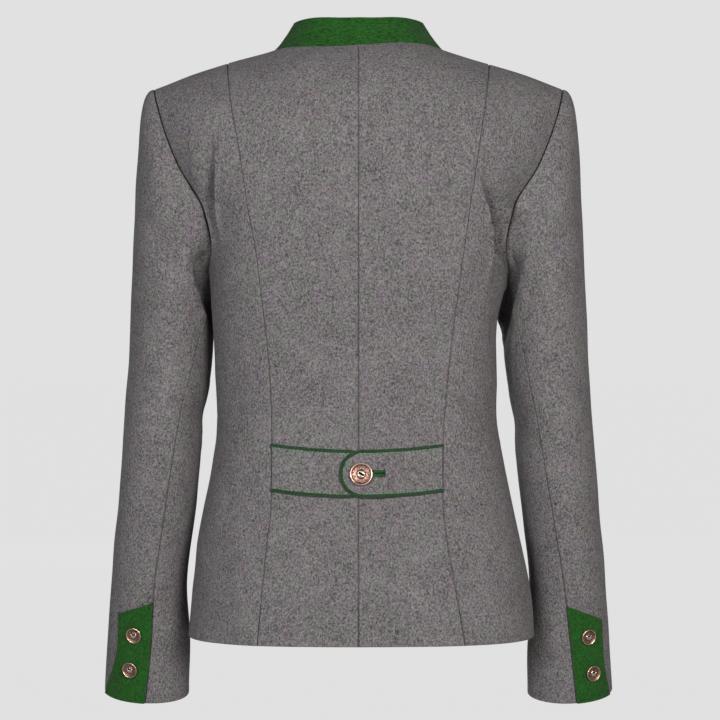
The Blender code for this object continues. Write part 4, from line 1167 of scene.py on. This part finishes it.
def belt_trim():
    """The piping round the tabs, and the fine thread that holds it to them."""
    for side_name, side in SIDES.items():
        start = belt_start(side_name)
        solids = ["belt_piping_top_left", "belt_piping_bottom_left"] if side_name == "left" else ["belt_piping_right"]
        for path, solid in zip(belt_path(side_name, BELT_HALF + PIPING_RADIUS + 0.0001, start), solids):
            # The left piping thins where it is tucked under the right tab.
            thin = TUCKED_TAPER if side_name == "left" else 1.0
            taper = mix(thin, 1.0, smooth((path[:, 0] - TUCKED_PIPING_END) / TUCKED_WIDTH))
            lifts = lap_height(path[:, 0], side_name) + PIPING_RADIUS * 0.9 * taper
            lifts = lifts - 0.0022 * np.clip(1 - np.abs(path[:, 0] - start) / 0.0016, 0, 1)
            cord(solid + "_cord", path, lifts, PIPING_RADIUS * 1.15, green_piping, solid, 0.09, taper)
        for path, place in zip(belt_path(side_name, BELT_HALF - 0.0004, start - side * 0.001), ("top", "bottom")):
            lifts = lap_height(path[:, 0], side_name) + BELT_WALL + 0.0001
            cord(f"belt_thread_{side_name}_{place}", path, lifts, THREAD_RADIUS, sage_thread, swell=0.25)


# --- buttons and bound buttonholes ---

# Half outline of a button from the middle of its face round to the middle of its back, for a radius of 1.
BUTTON_FACE = table(
    "radius height",
    (0.0, 0.410), (0.12, 0.408), (0.22, 0.395), (0.30, 0.365), (0.355, 0.315), (0.385, 0.262), (0.42, 0.232),
    (0.50, 0.222), (0.60, 0.232), (0.70, 0.252), (0.775, 0.275), (0.82, 0.310), (0.87, 0.350), (0.92, 0.365),
    (0.965, 0.345), (0.99, 0.295), (1.0, 0.230), (0.985, 0.165), (0.93, 0.105), (0.80, 0.055), (0.55, 0.01),
    (0.30, 0.0), (0.0, 0.0),
)
# Where the boss ends, the slot's floor may reach, and the rim starts and ends, in rows of the outline.
BOSS_END, SLOT_REACH, FACE_END, RIM = 4.6, 6, 7, (11.4, 16.5)
SLOT_LENGTH, SLOT_WIDTH, SLOT_DEPTH = 0.17, 0.075, 0.14
FINE, AROUND = 4, 72  # rings to a row of the outline, and points to a ring
BUTTON_RADIUS, CUFF_BUTTON_RADIUS = 0.0112, 0.0080


def button(solid, point, normal, lift, radius, slot_turn, slot_shift=0.0):
    """A turned button with a domed boss, whose slot lies at a turn from the level."""
    rows = np.arange(len(BUTTON_FACE), dtype=float)
    fine = np.linspace(0, rows[-1], (len(rows) - 1) * FINE + 1)
    heights = smooth_curve(rows, column(BUTTON_FACE, "height"), fine)
    radii = np.maximum(smooth_curve(rows, column(BUTTON_FACE, "radius"), fine), 0)
    radii[0] = radii[-1] = 0
    turns = np.linspace(0, 2 * math.pi, AROUND + 1)[:-1]
    x, y = radii[:, None] * np.cos(turns), radii[:, None] * np.sin(turns)
    slot = math.radians(slot_turn)
    lengthwise = x * math.cos(slot) + y * math.sin(slot)
    sideways = -x * math.sin(slot) + y * math.cos(slot) - slot_shift
    in_slot = np.hypot(np.maximum(np.abs(lengthwise) - SLOT_LENGTH, 0), sideways) / SLOT_WIDTH
    on_face = (fine <= FACE_END)[:, None]
    z = heights[:, None] - on_face * SLOT_DEPTH * np.clip(1.35 - in_slot, 0, 1) ** 0.6
    normal, up = Vector(normal), Vector((0, 0, 1))
    upward = (up - normal * up.dot(normal)).normalized()
    axes = np.array([upward.cross(normal).normalized(), upward, normal])
    centre = np.array(point) + np.array(normal) * (lift + SEAM_GAP)
    points = np.stack([x, y, z], axis=-1) * radius @ axes + centre
    index = np.arange(z.size).reshape(z.shape)
    follow = np.roll(index, -1, axis=1)
    faces = np.stack([index[:-1], index[1:], follow[1:], follow[:-1]], axis=-1).reshape(-1, 4)
    name = solid + "_turned"
    mesh = bpy.data.meshes.new(name)
    mesh.from_pydata(points.reshape(-1, 3).tolist(), [], faces.tolist())
    mesh.shade_smooth()
    for finish in (copper, pale_boss_and_highlight, slot_painted_shade, rim_rubbed_and_highlight):
        mesh.materials.append(finish)
    row = np.repeat(fine[:-1], AROUND)
    # Faces inside the slot get the near-black metal: painted shade.
    in_hole = (in_slot < 0.9)[:-1].ravel() & (row < SLOT_REACH)
    # Faces on the rim get the pale rim metal: partly rubbed copper, partly painted highlight.
    on_rim = (row > RIM[0]) & (row < RIM[1])
    # Faces on the boss get the cream metal: partly pale metal, partly painted highlight.
    which = np.where(in_hole, 2, np.where(row < BOSS_END, 1, np.where(on_rim, 3, 0)))
    mesh.polygons.foreach_set("material_index", which.astype(np.int32))
    place_piece(name, mesh, solid)


HOLE_LENGTH, LIP, SLIT = 0.0130, 0.0032, 0.17  # SLIT is the share of the lips coloured near-black, painted shade in the slit


def bound_buttonhole(name, face, across, height, lift):
    """Two green lips; their middle share is coloured near-black as painted shade in the slit between them."""
    u = steps_between(HOLE_LENGTH, 0.0006, (0, 0.2, 0.5, 0.9))
    v = np.linspace(-1, 1, 25)[:, None]
    points, normals = place_on(face, across - HOLE_LENGTH * u, height + LIP * v)
    full = np.sqrt(np.maximum(1 - ((np.abs(v) - 0.5) / 0.5) ** 2, 0))
    ends = np.sqrt(np.maximum(1 - (2 * u - 1) ** 6, 0))
    proud = 0.0013 * full * ends - 0.0002 - 0.0001 * np.sin(u * 40)
    points = points + normals * (lift + proud)[..., None]
    lips = cloth(name, green_binding, points, normals, 0 * proud, proud + 0.0006)
    # The faces along the slit get the near-black finish: painted shade.
    lips.data.materials.append(slit_painted_shade)
    slit = np.repeat(np.abs(v[:-1] + v[1:]) / 2 < SLIT, len(u) - 1)
    which = np.zeros(len(lips.data.polygons), np.int32)
    which[: len(slit)] = slit
    lips.data.polygons.foreach_set("material_index", which)


def fastenings():
    """The buttons, and the buttonholes that show beside them."""
    lift = float(lap_height(BELT_BUTTON[0], "right")) + BELT_WALL
    button("belt_button", *place_on("back", *BELT_BUTTON), lift, BUTTON_RADIUS, -32)
    bound_buttonhole("belt_buttonhole", "back", *BELT_BUTTONHOLE, 2 * (BELT_WALL + SEAM_GAP) + 0.0001)
    for side_name in SIDES:
        for i, (number, turn) in enumerate(CUFF_BUTTONS[side_name]):
            point, normal = (mirrored(of(turn, number), side_name) for of in (sleeve_point, sleeve_normal))
            button(f"cuff_button_{side_name}_{i + 1}", point, normal, INSET_LIFT, CUFF_BUTTON_RADIUS, 0, 0.16)
    for i, height in enumerate(FRONT_BUTTONS):
        lift = LAP_LIFT + (0.0004 if height < -0.3 else 0)
        button(f"front_button_{i + 1}", *place_on("front", 0.0, height), lift, BUTTON_RADIUS, -28)
        bound_buttonhole(f"front_buttonhole_{i + 1}", "front", -0.0095, height, LAP_LIFT + 0.0001)


# --- the stage ---

SURROUND = 0.42  # how much of the pale surround's own light reaches the cloth
FLOOR_SEEN = 0.993  # what the camera sees of the floor; the light boxes add the rest
FLOOR, FLOOR_HALF = -0.72, 60
FACED = Vector((0, 0, -0.24))  # what the light boxes face
LIGHT_BOXES = table(
    "name place size colour watts",
    ("behind_right", (-1.25, 2.9, 0.35), 0.9, (1.0, 0.985, 0.96), 73),
    ("behind_left", (1.20, 2.9, 0.35), 0.9, (0.93, 0.96, 1.0), 56),
    ("before", (0.3, -3.2, 0.0), 1.3, (1.0, 1.0, 1.0), 60),
)


def studio():
    """A pale floor, an even pale surround, and soft light boxes."""
    pale = linear("#e1e1e1")
    surround = bpy.data.worlds.new("surround")
    surround.use_nodes = True
    surround.node_tree.nodes.clear()
    sky = surround.node_tree
    up = node(sky, "SeparateXYZ", {0: node(sky, "TexCoord").outputs["Generated"]}).outputs["Z"]
    fading = node(sky, "MapRange", {0: up, 1: 0.25, 2: 0.65, 3: SURROUND, 4: 0.2 * SURROUND})
    seen = node(sky, "LightPath").outputs["Is Camera Ray"]
    strength = node(sky, "Math", {0: fading, 1: seen}, operation="MAXIMUM")
    node(sky, "OutputWorld", {0: node(sky, "Background", {0: pale, 1: strength})})
    bpy.context.scene.world = surround
    made, tree = new_finish("pale_floor")
    matt = node(tree, "BsdfDiffuse", {0: linear("#0b0b0b")})
    seen = node(tree, "LightPath").outputs["Is Camera Ray"]
    seen = node(tree, "Math", {0: seen, 1: FLOOR_SEEN}, operation="MULTIPLY")
    strength = node(tree, "Math", {0: seen, 1: SURROUND}, operation="MAXIMUM")
    lit = node(tree, "Emission", {0: pale, 1: strength})
    node(tree, "OutputMaterial", {0: node(tree, "AddShader", {0: matt, 1: lit})})
    mesh = bpy.data.meshes.new("floor")
    corners = [(x * FLOOR_HALF, y * FLOOR_HALF, FLOOR) for x, y in ((-1, -1), (1, -1), (1, 1), (-1, 1))]
    mesh.from_pydata(corners, [], [(0, 1, 2, 3)])
    mesh.materials.append(made)
    placed("floor", mesh)
    for box in LIGHT_BOXES:
        light = bpy.data.lights.new(box.name, "AREA")
        light.shape, light.size, light.color, light.energy = "SQUARE", box.size, box.colour, box.watts
        lamp = placed(box.name, light)
        lamp.location = box.place
        lamp.rotation_euler = (FACED - lamp.location).to_track_quat("-Z", "Y").to_euler()
        lamp.visible_camera = False


def main():
    studio()
    for side_name in SIDES:
        for face in ("back", "front"):
            body_panel("centre", side_name, face)
            body_panel("side", side_name, face)
        sleeve_panel("upper", side_name)
        sleeve_panel("under", side_name)
        cuff_inset(side_name)
        belt_tab(side_name)
    collar()
    belt_trim()
    fastenings()
    bpy.context.view_layer.update()


main()
